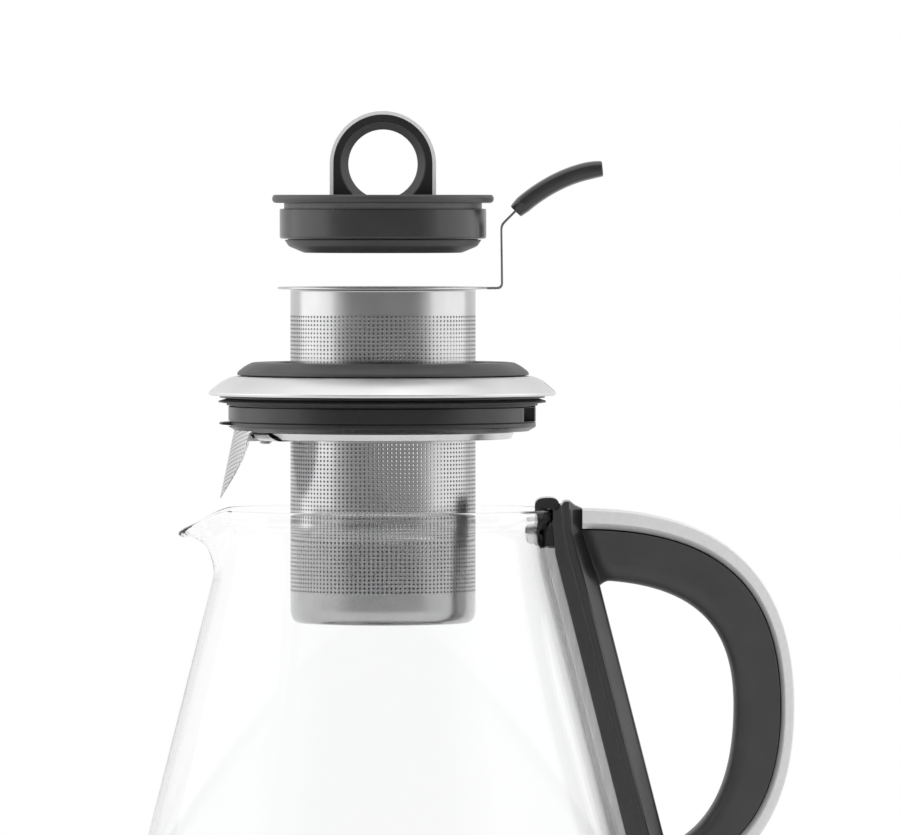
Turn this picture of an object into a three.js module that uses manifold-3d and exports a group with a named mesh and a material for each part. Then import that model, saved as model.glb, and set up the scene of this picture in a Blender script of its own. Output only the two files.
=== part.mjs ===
// Electric tea kettle: conical glass jug on a cordless power base, with a lift-out tea infuser.
// Millimetres, +Z up, +X towards the handle, origin at the middle of the base's underside.
// The upper pieces stand apart along the jug's axis, as they do when they are lifted out one by one.

import * as THREE from 'three';
import { mergeVertices } from 'three/addons/utils/BufferGeometryUtils.js';
import Module from 'manifold-3d';

const wasm = await Module();
wasm.setup();

// Clearances
const SEAT_GAP = 0.3;
const SLIP_GAP = 0.6;
const SWIVEL_GAP = 0.9;
const CUT_OVERRUN = 3;
const SCREW_PLAY = 0.3;

// Facets
const RING_FACETS = 30;
const BASE_FACETS = 28;
const JUG_FACETS = 48;
const SMALL_FACETS = 6;
const FOOT_FACETS = 12;
const CONTROL_FACETS = 16;
const CONNECTOR_FACETS = 20;
const HOOK_FACETS = 5;
const MERGE_DISTANCE = 0.0001;

// How high the upper pieces are lifted above their seats
const COLLAR_LIFT = 39.5;
const INFUSER_LIFT = 44.6;
const LID_LIFT = 10.8;

// Steel band round the jug's foot, which the housing, the base and the handle follow
const BAND_RADIUS = 88.2;
const BAND_TOP = 56;
const BAND_WALL = 1.2;
const BAND_SHELF_WIDTH = 24.2;
const BAND_SHELF_RADIUS = BAND_RADIUS - BAND_SHELF_WIDTH;
const BAND_LIP = 0.6;

// Glass jug
const GLASS_FOOT = 50;
const GLASS_HEIGHT = 136;
const GLASS_WALL = 2.4;
const GLASS_PLAY = 1;
const GLASS_FOOT_RADIUS = BAND_RADIUS - BAND_WALL - GLASS_PLAY;
const GLASS_FOOT_RISE = 7;
const RIM_RADIUS = 60.2;
const RIM_DEPTH = 3.4;
const RIM_ROUND = 0.6;
const NECK_INSET = 2.8;
const NECK_RADIUS = RIM_RADIUS - NECK_INSET;
const NECK_TOP_DROP = 8.2;
const NECK_BOTTOM_DROP = 13.2;
const NECK_FLARE_SHARE = 0.45;
const SHOULDER_STEP = 1.2;
const SHOULDER_RADIUS = NECK_RADIUS + SHOULDER_STEP;
const SHOULDER_DROP = 21.5;
const SPOUT_REACH = 11;
const SPOUT_DIP = 8.4;
const SPOUT_HALF_ANGLE = 0.44;
const SPOUT_OUTER_REACH_SHARES = [0, 0, 0.02, 0.32, 0.52, 0.58, 0.68, 0.97, 1];
const SPOUT_INNER_REACH_SHARES = [1, 0.96, 0.66, 0.54, 0.34, 0.02, 0, 0];
const SPOUT_OUTER_DIP_SHARES = [0, 0, 0, 0.12, 0.38, 0.56, 0.76, 1, 0.98];
const SPOUT_INNER_DIP_SHARES = [0.9, 0.87, 0.62, 0.22, 0.04, 0, 0, 0];

// Power base
const BASE_INSET = 2.2;
const BASE_RADIUS = BAND_RADIUS - BASE_INSET;
const BASE_HEIGHT = 20;
const BASE_WALL = 2.4;
const BASE_SHOULDER = 4;
const BASE_SHOULDER_CUT_SHARE = 0.3;
const BASE_RIM_WIDTH = 9;
const BASE_DISH_RADIUS = BASE_RADIUS - BASE_RIM_WIDTH;
const BASE_DISH_DEPTH = 2.4;
const FOOT_HEIGHT = 2;
const FOOT_RADIUS = 7;
const FOOT_INSET = 18;
const FOOT_CIRCLE = BASE_RADIUS - FOOT_INSET;
const FOOT_COUNT = 4;
const FOOT_SOCKET = 1;
const UNDERSIDE_THICKNESS = 2.4;
const HUB_RADIUS = 26;
const BASE_SCREW_COUNT = 3;
const BASE_SCREW_INSET = 40;
const BASE_SCREW_CIRCLE = BASE_RADIUS - BASE_SCREW_INSET;
const BOSS_RADIUS = 4;
const CONNECTOR_RADIUS = 17;
const CONNECTOR_RISE = 11;
const CONNECTOR_FLANGE = 4;
const CONNECTOR_FLANGE_THICKNESS = 2.4;
const CONTACT_PIT_RADIUS = 3;
const CONTACT_PIT_DEPTH = 8;
const GLAND_RADIUS = 4.1;
const GLAND_NECK_RADIUS = 3.2;
const GLAND_PROUD = 2.2;
const GLAND_INSIDE = 4;
const GLAND_HEIGHT = 9;
const GLAND_EYE_RADIUS = 1.9;

// Screws
const SCREW_HEAD_RADIUS = 2.7;
const SCREW_HEAD_HEIGHT = 1.6;
const SCREW_CROWN_SHARE = 0.8;
const SCREW_SHANK_RADIUS = 1.4;
const SCREW_LENGTH = 8;

// Swivel ring in the recess under the jug
const SWIVEL_RING_WALL = 3;
const SWIVEL_RING_HEIGHT = 8;
const SWIVEL_RING_BEVEL = 1;

// Jug housing: cover, plate and control
const COVER_TOP = 36;
const COVER_INSET = 1.6;
const COVER_TOP_RADIUS = BAND_RADIUS - COVER_INSET;
const COVER_TAPER = 3.1;
const COVER_SHOULDER_RADIUS = COVER_TOP_RADIUS - COVER_TAPER;
const COVER_SHOULDER_RISE = 4.4;
const COVER_SHOULDER_RUN = 9.5;
const COVER_FOOT_RADIUS = COVER_SHOULDER_RADIUS - COVER_SHOULDER_RUN;
const COVER_WALL = 2.4;
const COVER_ROOF_HEIGHT = 31.8;
const CONTROL_STEM_RADIUS = 11.5;
const CONTROL_RADIUS = 26;
const CONTROL_LOWER_SHARE = 0.45;
const CONTROL_WAIST_SHARE = 0.8;
const COVER_SCREW_INSET = 19.2;
const COVER_SCREW_CIRCLE = BAND_RADIUS - COVER_SCREW_INSET;
const COVER_SCREW_COUNT = 3;
const COVER_SCREW_LENGTH = 21;
const COVER_SCREW_SINK = 1.2;
const PLATE_TOP = 50.8;
const PLATE_THICKNESS = 1.2;
const PLATE_CORNER = 2;
const ELEMENT_INSET = 38.2;
const ELEMENT_CIRCLE = BAND_RADIUS - ELEMENT_INSET;
const ELEMENT_RADIUS = 3.6;
const ELEMENT_GAP_ANGLE = 0.55;
const ELEMENT_STEPS = 22;
const ELEMENT_SIDES = 6;
const ELEMENT_TAIL = 5;

// Snout of the cover under the handle, with the switch and its lamp
const SNOUT_LENGTH = 17.8;
const SNOUT_REACH = BAND_RADIUS + SNOUT_LENGTH;
const SNOUT_WIDTH = 23;
const SNOUT_BOTTOM = 23;
const SNOUT_TOP = 50;
const SNOUT_CHIN_RUN = 8;
const SNOUT_CHIN_RISE = 8;
const SNOUT_BROW = 3;
const SWITCH_POCKET_WIDTH = 15;
const SWITCH_POCKET_DEPTH = 12;
const SWITCH_POCKET_HEIGHT = 10;
const SWITCH_AXIS_HEIGHT = 37;
const SWITCH_AXIS_INSET = 7;
const SWITCH_REACH = 18;
const SWITCH_THICKNESS = 4.4;
const SWITCH_TIP_THICKNESS = 2.6;
const SWITCH_DIP = 3;
const SWITCH_BARREL_RADIUS = 3.2;
const PIN_RADIUS = 1.3;
const PIN_ENTRY = 2.2;
const LAMP_WIDTH = 7;
const LAMP_HEIGHT = 2.2;
const LAMP_DEPTH = 3;
const LAMP_RISE = 8.2;

// Handle: strap, steel spine, grip and trim
const STRAP_WIDTH = 24;
const STRAP_FRONT = 3.9;
const STRAP_BACK = 16;
const STRAP_STEP = 0.9;
const STRAP_BACK_WIDTH = 12;
const STRAP_STEP_SHARES = [0.34, 0.64];
const STRAP_LEDGE_RISE = 1;
const STRAP_SHOULDER_RISE = 2.6;
const STRAP_SHOULDER_RUN = 5.4;
const STRAP_SHOULDER_REACH = RIM_RADIUS + STRAP_SHOULDER_RUN;
const STRAP_CREST_RUN = 10.5;
const STRAP_CREST_REACH = RIM_RADIUS + STRAP_CREST_RUN;
const SPINE_WIDTH = 20;
const SPINE_TOP_DROP = 16;
const HANDLE_STANDOFF = 55.6;
const HANDLE_REACH = BAND_RADIUS + HANDLE_STANDOFF;
const HANDLE_MID_DROP = 68.8;
const HANDLE_HEIGHT = 138.2;
const TRIM_SIDE_THICKNESS = 4.6;
const TRIM_TOP_THICKNESS = 6.8;
const TRIM_WIDTH = 19;
const TRIM_PULL_SHARES = [0.738, 0.601];
const TRIM_INNER_PULL_SHARES = [0.645, 0.723];
const TRIM_CORNERS = 8;
const TRIM_SQUARENESS = 0.35;
const GRIP_WIDTH = 22;
const GRIP_SIDE_THICKNESS = 16.4;
const GRIP_TOP_THICKNESS = 18;
const GRIP_PULL_SHARES = [0.742, 0.638];
const GRIP_CORNERS = 10;
const GRIP_SQUARENESS = 0.62;
const HANDLE_STEPS = 20;
const HANDLE_HALVINGS = 30;
const HANDLE_SCREW_LENGTH = 12;
const HANDLE_SCREW_DROP = 124;

// Hook over the rim, clip pad inside it
const HOOK_WIDTH = 16;
const HOOK_RISE = 4.1;
const HOOK_WALL = 1.6;
const HOOK_DROP = 13;
const PAD_WIDTH = 13;
const PAD_THICKNESS = 2.4;
const PAD_TOP_DROP = 3.2;
const PAD_BOTTOM_DROP = 12;
const PAD_CORNER = 1.2;
const CLIP_SCREW_RADIUS = 1.9;
const CLIP_SCREW_PROUD = 0.6;

// Collar that closes the jug, measured down from its top face. The infuser and the lid fit its bore.
const BORE_RADIUS = 37.3;
const BORE_CHAMFER = 0.7;
const TOP_RING_WIDTH = 13.8;
const TOP_RING_RADIUS = BORE_RADIUS + TOP_RING_WIDTH;
const TOP_RING_HEIGHT = 4.4;
const TOP_RING_CROWN_WIDTH = 7.2;
const TOP_RING_CROWN = BORE_RADIUS + TOP_RING_CROWN_WIDTH;
const TOP_RING_BULGE_SHARES = [0.94, 0.52, 0.6, 0.18];
const DOME_OVERHANG = 1;
const DOME_RADIUS = RIM_RADIUS + DOME_OVERHANG;
const DOME_BOTTOM = 11.5;
const DOME_TUCK = 1.9;
const DOME_INNER_RADIUS = TOP_RING_RADIUS - DOME_TUCK;
const DOME_WALL = 0.8;
const DOME_EDGE_WALL = 1.3;
const DOME_HEM = 4;
const DOME_CURVE_SHARES = [0.38, 0.05, 0.63, 0.27, 0.87, 0.6];
const LIP_PLAY = 1.2;
const LIP_RADIUS = RIM_RADIUS - GLASS_WALL - LIP_PLAY;
const LIP_BOTTOM = 12.3;
const FIN_PLAY = 0.5;
const GASKET_FIN_RADIUS = RIM_RADIUS - GLASS_WALL - FIN_PLAY;
const GASKET_FIN_WIDTH = 2.6;
const GASKET_NECK_RADIUS = GASKET_FIN_RADIUS - GASKET_FIN_WIDTH;
const GASKET_WALL = 2.1;
const GASKET_INNER_RADIUS = GASKET_NECK_RADIUS - GASKET_WALL;
const GASKET_TOP = 12.6;
const GASKET_FIN_TOP = 13.1;
const GASKET_FIN_BOTTOM = 14.5;
const GASKET_BOTTOM = 15;
const BODY_PLAY = 0.9;
const BODY_RADIUS = NECK_RADIUS - GLASS_WALL - BODY_PLAY;
const BODY_BOTTOM = 24;
const BODY_CHAMFER = 1.6;
const SEAT_DEPTH = 18.2;
const SEAT_WIDTH = 3.6;
const SEAT_RADIUS = BORE_RADIUS - SEAT_WIDTH;
const RECESS_DEPTH = 3.9;
const RECESS_REACH = BODY_RADIUS - RECESS_DEPTH;
const RECESS_TOP = 15.4;
const RECESS_BOTTOM = 20.6;
const SPOUT_SEAL_PROUD = 3.2;
const SPOUT_SEAL_RADIUS = BODY_RADIUS + SPOUT_SEAL_PROUD;
const SPOUT_SEAL_TOP = 20.6;
const SPOUT_SEAL_BOTTOM = 22.1;
const SPOUT_SEAL_ANGLE = 0.2;
const SPOUT_SEAL_BITE = 2.4;
const PAN_WIDTH = 12;
const PAN_RADIUS = SEAT_RADIUS + SEAT_GAP + PAN_WIDTH;
const PAN_HEIGHT = 2.4;
const PAN_TAPER = 1.2;
const PAN_WALL = 1;
const PAN_SCREW_INSET = 6.4;
const PAN_SCREW_CIRCLE = PAN_RADIUS - PAN_SCREW_INSET;
const PAN_SCREW_COUNT = 4;
const PAN_SCREW_LENGTH = 7;
const STRAINER_INSET = 1.9;
const STRAINER_TOP_RADIUS = BODY_RADIUS - STRAINER_INSET;
const STRAINER_DROP = 23.4;
const STRAINER_FLARE = 4.9;
const STRAINER_HALF_WIDTH = 25;
const STRAINER_TIP_HALF_WIDTH = 3.6;
const STRAINER_SIDE_SHARE = 0.12;
const STRAINER_WALL = 0.7;
const STRAINER_HOLE_RADIUS = 1.5;
const STRAINER_HOLE_PITCH = 5.4;
const STRAINER_MARGIN = 2.4;
const STRAINER_HOLE_SIDES = 4;
const STRAINER_COLUMNS = 10;
const BRACKET_WIDTH = 18;
const BRACKET_THICKNESS = 0.9;
const BRACKET_INSET = 3.4;
const BRACKET_INNER_REACH = SEAT_RADIUS + SEAT_GAP + BRACKET_INSET;
const BRACKET_LEG = 5;
const RIVET_RADIUS = 1.2;
const RIVET_HEAD_RADIUS = 2.2;
const RIVET_INSET = 3.6;
const RIVET_SPACING = 10;
const RIVET_LENGTH = 2.2;

// Infuser basket with its strap and grip, measured from the top of its rim
const BASKET_RIM_PLAY = 0.4;
const BASKET_RIM_RADIUS = BORE_RADIUS - BASKET_RIM_PLAY;
const BASKET_RIM_WIDTH = 4.5;
const BASKET_RADIUS = BASKET_RIM_RADIUS - BASKET_RIM_WIDTH;
const BASKET_WALL = 0.6;
const BASKET_DEPTH = 117.6;
const BASKET_CORNER = 7;
const BASKET_RIM_THICKNESS = 0.8;
const TAB_RUN = 4.9;
const TAB_REACH = BASKET_RIM_RADIUS + TAB_RUN;
const TAB_RISE = 21.5;
const TAB_WIDTH = 9;
const TAB_THICKNESS = 0.9;
const TAB_BEND = 1.4;
const TAB_MITRE_SHARE = 0.4;
const TANG_RUN = 4.6;
const TANG_RISE = 4.8;
const TANG_LENGTH = 9;
const SPOON_RUN = 31;
const SPOON_RISE = 14.2;
const SPOON_BEND_SHARES = [0.56, 0.93];
const SPOON_THICKNESS = 6.3;
const SPOON_WIDTH = 13;
const SPOON_STEPS = 9;
const SPOON_CORNERS = 8;
const SPOON_SQUARENESS = 0.6;
const SPOON_START_SHARE = 0.22;
const SPOON_TIP_SHARE = 0.2;
const SPOON_TIP_TAPER_SHARE = 0.28;
const SPOON_ROOT_SHARE = 0.15;
const SPOON_ROOT_TAPER_SHARE = 0.18;

// Lid, measured from the underside of its flange
const FLANGE_OVERLAP = 1.6;
const FLANGE_RADIUS = BORE_RADIUS + FLANGE_OVERLAP;
const FLANGE_HEIGHT = 2.9;
const FLANGE_EDGE = 0.8;
const LID_NECK_PLAY = 2.7;
const LID_NECK_RADIUS = BORE_RADIUS - LID_NECK_PLAY;
const LID_NECK_HEIGHT = 2;
const LID_NECK_WALL = 3.6;
const LID_RING_PLAY = 1.15;
const LID_RING_RADIUS = BORE_RADIUS - LID_RING_PLAY;
const LID_RING_HEIGHT = 10.5;
const LID_RING_WALL = 2.6;
const CUP_STEP = 1.65;
const CUP_RADIUS = LID_RING_RADIUS - CUP_STEP;
const CUP_WAIST_INSET = 1.5;
const CUP_WAIST_RADIUS = CUP_RADIUS - CUP_WAIST_INSET;
const CUP_BOTTOM_INSET = 6.9;
const CUP_BOTTOM_RADIUS = CUP_RADIUS - CUP_BOTTOM_INSET;
const CUP_HEIGHT = 4.9;
const CUP_WAIST_SHARE = 0.5;
const CUP_WALL = 2;
const CUP_COLLAR_RISE = 3;
const ARCH_RADIUS = 17.4;
const ARCH_HOLE_RADIUS = 12.2;
const ARCH_CENTRE_HEIGHT = 10.7;
const ARCH_DEPTH = 12;
const ARCH_BORDER = 2.1;
const ARCH_TUNNEL = 2.1;
const ARCH_RECESS = 1;
const ARCH_TRIM_THICKNESS = 0.9;
const ARCH_FACETS = 10;
const LID_SCREW_SPACING = 26;
const LID_SCREW_LENGTH = 9;

// Heights worked out from the sizes above
const DISH_HEIGHT = BASE_HEIGHT - BASE_DISH_DEPTH;
const RIM_HEIGHT = GLASS_FOOT + GLASS_HEIGHT;
const COLLAR_HEIGHT = RIM_HEIGHT + SEAT_GAP + DOME_BOTTOM;
const INFUSER_HEIGHT = COLLAR_HEIGHT - SEAT_DEPTH;
const LID_HEIGHT = COLLAR_HEIGHT + SEAT_GAP;

// Materials
function finish(color, roughness, metalness) {
  return new THREE.MeshStandardMaterial({ color, roughness, metalness });
}

const BLACK_PLASTIC = finish(0x2b2b2d, 0.45, 0);
const GREY_PLASTIC = finish(0x47474a, 0.5, 0);
const SILVER_PLASTIC = finish(0xdadbdc, 0.35, 0.2);
const STEEL = finish(0xc4c5c7, 0.3, 1);
const BRUSHED_STEEL = finish(0xa9a9ab, 0.38, 1);
const SILICONE = finish(0x222224, 0.75, 0);
const CLEAR_SILICONE = finish(0xc9cacb, 0.6, 0);
const RUBBER = finish(0x1d1d1f, 0.85, 0);
const GLASS = finish(0xeef4f4, 0.04, 0);
const LAMP_PLASTIC = finish(0xd8e6ee, 0.2, 0);

// A turned body: the closed outline of [radius, height] pairs is carried once round the Z axis.
function turned(outline, facets) {
  const points = outline.map(([radius, height]) => new THREE.Vector2(radius, height));
  if (THREE.ShapeUtils.isClockWise(points)) points.reverse();
  points.push(points[0].clone());
  const lathe = new THREE.LatheGeometry(points, facets);
  lathe.rotateX(Math.PI / 2);
  return closed(lathe);
}

// Merges the shared corners and drops the triangles that have shrunk to a line.
function closed(geometry) {
  geometry.deleteAttribute('normal');
  geometry.deleteAttribute('uv');
  const merged = mergeVertices(geometry, MERGE_DISTANCE);
  const corners = merged.index.array;
  const kept = [];
  for (let i = 0; i < corners.length; i += 3) {
    const [a, b, c] = [corners[i], corners[i + 1], corners[i + 2]];
    if (a !== b && b !== c && c !== a) kept.push(a, b, c);
  }
  merged.setIndex(kept);
  return merged;
}

function toSolid(geometry) {
  const vertProperties = new Float32Array(geometry.attributes.position.array);
  const triVerts = new Uint32Array(geometry.index.array);
  return new wasm.Manifold(new wasm.Mesh({ numProp: 3, vertProperties, triVerts }));
}

function toGeometry(solid) {
  const mesh = solid.getMesh();
  const geometry = new THREE.BufferGeometry();
  geometry.setAttribute('position', new THREE.BufferAttribute(new Float32Array(mesh.vertProperties), 3));
  geometry.setIndex([...mesh.triVerts]);
  return geometry;
}

function cut(body, ...tools) {
  return toGeometry(tools.reduce((rest, tool) => rest.subtract(toSolid(tool)), toSolid(body)));
}

function join(body, ...others) {
  return toGeometry(others.reduce((whole, other) => whole.add(toSolid(other)), toSolid(body)));
}

// A box between two opposite corners.
function block(low, high) {
  const size = high.map((value, axis) => value - low[axis]);
  const box = new THREE.BoxGeometry(...size);
  box.translate(...low.map((value, axis) => value + size[axis] / 2));
  return closed(box);
}

// A plate: an outline of [x, z] pairs, as thick as its width, centred on the plane y = 0.
function plate(outline, width) {
  const shape = new THREE.Shape(outline.map(([x, z]) => new THREE.Vector2(x, z)));
  return plateOf(shape, width);
}

function plateOf(shape, width, facets = ARCH_FACETS) {
  const options = { depth: width, bevelEnabled: false, curveSegments: facets };
  const body = new THREE.ExtrudeGeometry(shape, options);
  body.rotateX(Math.PI / 2);
  body.translate(0, width / 2, 0);
  return closed(body);
}

// An upright cylinder from one height to another.
function rod(radius, low, high, facets = SMALL_FACETS) {
  const cylinder = new THREE.CylinderGeometry(radius, radius, high - low, facets);
  cylinder.rotateX(Math.PI / 2);
  cylinder.translate(0, 0, (low + high) / 2);
  return closed(cylinder);
}

// A body through a row of rings with the same number of corners. Endless rings close on the first.
function lofted(rings, endless = false) {
  const count = rings[0].length;
  const corners = rings.flat();
  const index = [];
  const spans = endless ? rings.length : rings.length - 1;
  for (let i = 0; i < spans; i++) {
    const here = i * count;
    const next = ((i + 1) % rings.length) * count;
    for (let j = 0; j < count; j++) {
      const k = (j + 1) % count;
      index.push(here + j, next + j, next + k, here + j, next + k, here + k);
    }
  }
  if (!endless) {
    const last = (rings.length - 1) * count;
    for (const [a, b, c] of capOf(rings[0])) index.push(a, b, c);
    for (const [a, b, c] of capOf(rings[rings.length - 1])) index.push(last + a, last + c, last + b);
  }
  const geometry = new THREE.BufferGeometry().setFromPoints(corners);
  geometry.setIndex(index);
  return outward(geometry);
}

// Triangles over one end ring, worked out in the ring's own plane.
function capOf(ring) {
  const normal = new THREE.Vector3();
  ring.forEach((point, i) => normal.add(point.clone().cross(ring[(i + 1) % ring.length])));
  normal.normalize();
  const turn = new THREE.Quaternion().setFromUnitVectors(normal, new THREE.Vector3(0, 0, 1));
  const flat = ring.map((point) => point.clone().applyQuaternion(turn));
  const outline = flat.map((point) => new THREE.Vector2(point.x, point.y));
  return THREE.ShapeUtils.triangulateShape(outline, []);
}

// Turns every triangle over if the body is inside out.
function outward(geometry) {
  const position = geometry.attributes.position;
  const corners = geometry.index.array;
  const [a, b, c] = [new THREE.Vector3(), new THREE.Vector3(), new THREE.Vector3()];
  let volume = 0;
  for (let i = 0; i < corners.length; i += 3) {
    a.fromBufferAttribute(position, corners[i]);
    b.fromBufferAttribute(position, corners[i + 1]);
    c.fromBufferAttribute(position, corners[i + 2]);
    volume += a.dot(b.cross(c));
  }
  if (volume > 0) return geometry;
  const turnedOver = [];
  for (let i = 0; i < corners.length; i += 3) turnedOver.push(corners[i], corners[i + 2], corners[i + 1]);
  geometry.setIndex(turnedOver);
  return geometry;
}

function moved(geometry, x, y, z) {
  return geometry.clone().translate(x, y, z);
}

// Copies of a body round the Z axis, the first at the start angle.
function aroundAxis(geometry, count, radius, start = 0) {
  return Array.from({ length: count }, (_, i) => {
    const copy = geometry.clone().translate(radius, 0, 0);
    return copy.rotateZ(start + (i * 2 * Math.PI) / count);
  });
}

function part(name, geometry, material) {
  const mesh = new THREE.Mesh(geometry, material);
  mesh.name = name;
  return mesh;
}

// A pan-head screw with its head's seat at height zero and its shank pointing up.
function screw(length) {
  return turned([
    [0, -SCREW_HEAD_HEIGHT],
    [SCREW_HEAD_RADIUS * SCREW_CROWN_SHARE, -SCREW_HEAD_HEIGHT],
    [SCREW_HEAD_RADIUS, 0],
    [SCREW_SHANK_RADIUS, 0],
    [SCREW_SHANK_RADIUS, length],
    [0, length],
  ], SMALL_FACETS);
}

// The space that a screw needs: its shank's hole above the head's seat.
function screwHole(length) {
  return rod(SCREW_SHANK_RADIUS + SCREW_PLAY, -CUT_OVERRUN, length + SCREW_PLAY);
}

// Power base

const UNDERSIDE_TOP = FOOT_HEIGHT + UNDERSIDE_THICKNESS;
const DECK_UNDERSIDE = DISH_HEIGHT - BASE_WALL;

function baseShell() {
  const inside = BASE_RADIUS - BASE_WALL;
  const shoulderCut = BASE_SHOULDER * BASE_SHOULDER_CUT_SHARE;
  const shell = turned([
    [inside, FOOT_HEIGHT],
    [BASE_RADIUS, FOOT_HEIGHT],
    [BASE_RADIUS, BASE_HEIGHT - BASE_SHOULDER],
    [BASE_RADIUS - shoulderCut, BASE_HEIGHT - shoulderCut],
    [BASE_RADIUS - BASE_SHOULDER, BASE_HEIGHT],
    [BASE_DISH_RADIUS + BASE_DISH_DEPTH, BASE_HEIGHT],
    [BASE_DISH_RADIUS, DISH_HEIGHT],
    [CONNECTOR_RADIUS + SEAT_GAP, DISH_HEIGHT],
    [CONNECTOR_RADIUS + SEAT_GAP, DECK_UNDERSIDE],
    [BASE_DISH_RADIUS, DECK_UNDERSIDE],
    [inside, BASE_HEIGHT - BASE_SHOULDER - BASE_WALL],
  ], BASE_FACETS);
  const boss = rod(BOSS_RADIUS, UNDERSIDE_TOP + SEAT_GAP, DISH_HEIGHT - BASE_WALL / 2);
  const hole = moved(screwHole(SCREW_LENGTH), 0, 0, FOOT_HEIGHT + UNDERSIDE_THICKNESS / 2);
  const withBosses = join(shell, ...aroundAxis(boss, BASE_SCREW_COUNT, BASE_SCREW_CIRCLE));
  return cut(withBosses, ...aroundAxis(hole, BASE_SCREW_COUNT, BASE_SCREW_CIRCLE), glandHole());
}

function glandHole() {
  const hole = rod(GLAND_NECK_RADIUS + SEAT_GAP, -BASE_WALL - CUT_OVERRUN, CUT_OVERRUN);
  hole.rotateX(-Math.PI / 2);
  return hole.translate(0, BASE_RADIUS, GLAND_HEIGHT);
}

function baseUnderside() {
  const rim = BASE_RADIUS - BASE_WALL - SEAT_GAP;
  const disc = turned([
    [0, 0],
    [HUB_RADIUS, 0],
    [HUB_RADIUS + FOOT_HEIGHT, FOOT_HEIGHT],
    [rim, FOOT_HEIGHT],
    [rim, UNDERSIDE_TOP],
    [0, UNDERSIDE_TOP],
  ], BASE_FACETS);
  const seat = FOOT_HEIGHT + UNDERSIDE_THICKNESS / 2;
  const head = rod(SCREW_HEAD_RADIUS + SCREW_PLAY, FOOT_HEIGHT - CUT_OVERRUN, seat);
  const shank = rod(SCREW_SHANK_RADIUS + SCREW_PLAY, FOOT_HEIGHT, UNDERSIDE_TOP + CUT_OVERRUN);
  const socketTop = FOOT_HEIGHT + FOOT_SOCKET;
  const socket = rod(FOOT_RADIUS + SEAT_GAP, FOOT_HEIGHT - CUT_OVERRUN, socketTop, FOOT_FACETS);
  return cut(
    disc,
    ...aroundAxis(head, BASE_SCREW_COUNT, BASE_SCREW_CIRCLE),
    ...aroundAxis(shank, BASE_SCREW_COUNT, BASE_SCREW_CIRCLE),
    ...aroundAxis(socket, FOOT_COUNT, FOOT_CIRCLE, Math.PI / FOOT_COUNT),
  );
}

function baseConnector() {
  const top = DISH_HEIGHT + CONNECTOR_RISE;
  const flangeTop = DECK_UNDERSIDE - SEAT_GAP;
  return turned([
    [0, UNDERSIDE_TOP + SEAT_GAP],
    [CONNECTOR_RADIUS, UNDERSIDE_TOP + SEAT_GAP],
    [CONNECTOR_RADIUS, flangeTop - CONNECTOR_FLANGE_THICKNESS],
    [CONNECTOR_RADIUS + CONNECTOR_FLANGE, flangeTop - CONNECTOR_FLANGE_THICKNESS],
    [CONNECTOR_RADIUS + CONNECTOR_FLANGE, flangeTop],
    [CONNECTOR_RADIUS, flangeTop],
    [CONNECTOR_RADIUS, top - CONNECTOR_FLANGE_THICKNESS],
    [CONNECTOR_RADIUS - CONNECTOR_FLANGE_THICKNESS, top],
    [CONTACT_PIT_RADIUS, top],
    [CONTACT_PIT_RADIUS, top - CONTACT_PIT_DEPTH],
    [0, top - CONTACT_PIT_DEPTH],
  ], CONNECTOR_FACETS);
}

function rubberFoot() {
  return turned([
    [0, 0],
    [FOOT_RADIUS - FOOT_SOCKET, 0],
    [FOOT_RADIUS, FOOT_SOCKET],
    [FOOT_RADIUS, FOOT_HEIGHT + FOOT_SOCKET - SEAT_GAP],
    [0, FOOT_HEIGHT + FOOT_SOCKET - SEAT_GAP],
  ], FOOT_FACETS);
}

function cordGland() {
  const wallInside = -BASE_WALL - SLIP_GAP;
  const gland = turned([
    [GLAND_EYE_RADIUS, 0],
    [0, 0],
    [0, wallInside - GLAND_INSIDE],
    [GLAND_RADIUS, wallInside - GLAND_INSIDE],
    [GLAND_RADIUS, wallInside],
    [GLAND_NECK_RADIUS, wallInside],
    [GLAND_NECK_RADIUS, SEAT_GAP],
    [GLAND_RADIUS, SEAT_GAP],
    [GLAND_RADIUS - GLAND_PROUD / 2, GLAND_PROUD],
    [GLAND_EYE_RADIUS, GLAND_PROUD],
  ], SMALL_FACETS);
  gland.rotateX(-Math.PI / 2);
  return gland.translate(0, BASE_RADIUS, GLAND_HEIGHT);
}

function powerBase() {
  const group = new THREE.Group();
  group.add(part('base_shell', baseShell(), BLACK_PLASTIC));
  group.add(part('base_underside', baseUnderside(), BLACK_PLASTIC));
  group.add(part('base_connector', baseConnector(), GREY_PLASTIC));
  group.add(part('cord_gland', cordGland(), RUBBER));
  aroundAxis(rubberFoot(), FOOT_COUNT, FOOT_CIRCLE, Math.PI / FOOT_COUNT).forEach((foot, i) => {
    group.add(part(`rubber_foot_${i + 1}`, foot, RUBBER));
  });
  const fastener = moved(screw(SCREW_LENGTH), 0, 0, FOOT_HEIGHT + UNDERSIDE_THICKNESS / 2 - SEAT_GAP);
  aroundAxis(fastener, BASE_SCREW_COUNT, BASE_SCREW_CIRCLE).forEach((copy, i) => {
    group.add(part(`base_screw_${i + 1}`, copy, STEEL));
  });
  return group;
}

// Swivel ring

const SWIVEL_RING_INNER = CONNECTOR_RADIUS + SWIVEL_GAP;
const SWIVEL_RING_OUTER = SWIVEL_RING_INNER + SWIVEL_RING_WALL;

function swivelRing() {
  const bottom = DISH_HEIGHT + SEAT_GAP;
  const top = bottom + SWIVEL_RING_HEIGHT;
  return turned([
    [SWIVEL_RING_INNER, bottom],
    [SWIVEL_RING_OUTER, bottom],
    [SWIVEL_RING_OUTER, top - SWIVEL_RING_BEVEL],
    [SWIVEL_RING_OUTER - SWIVEL_RING_BEVEL, top],
    [SWIVEL_RING_INNER, top],
  ], CONNECTOR_FACETS);
}

// Jug housing

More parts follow.
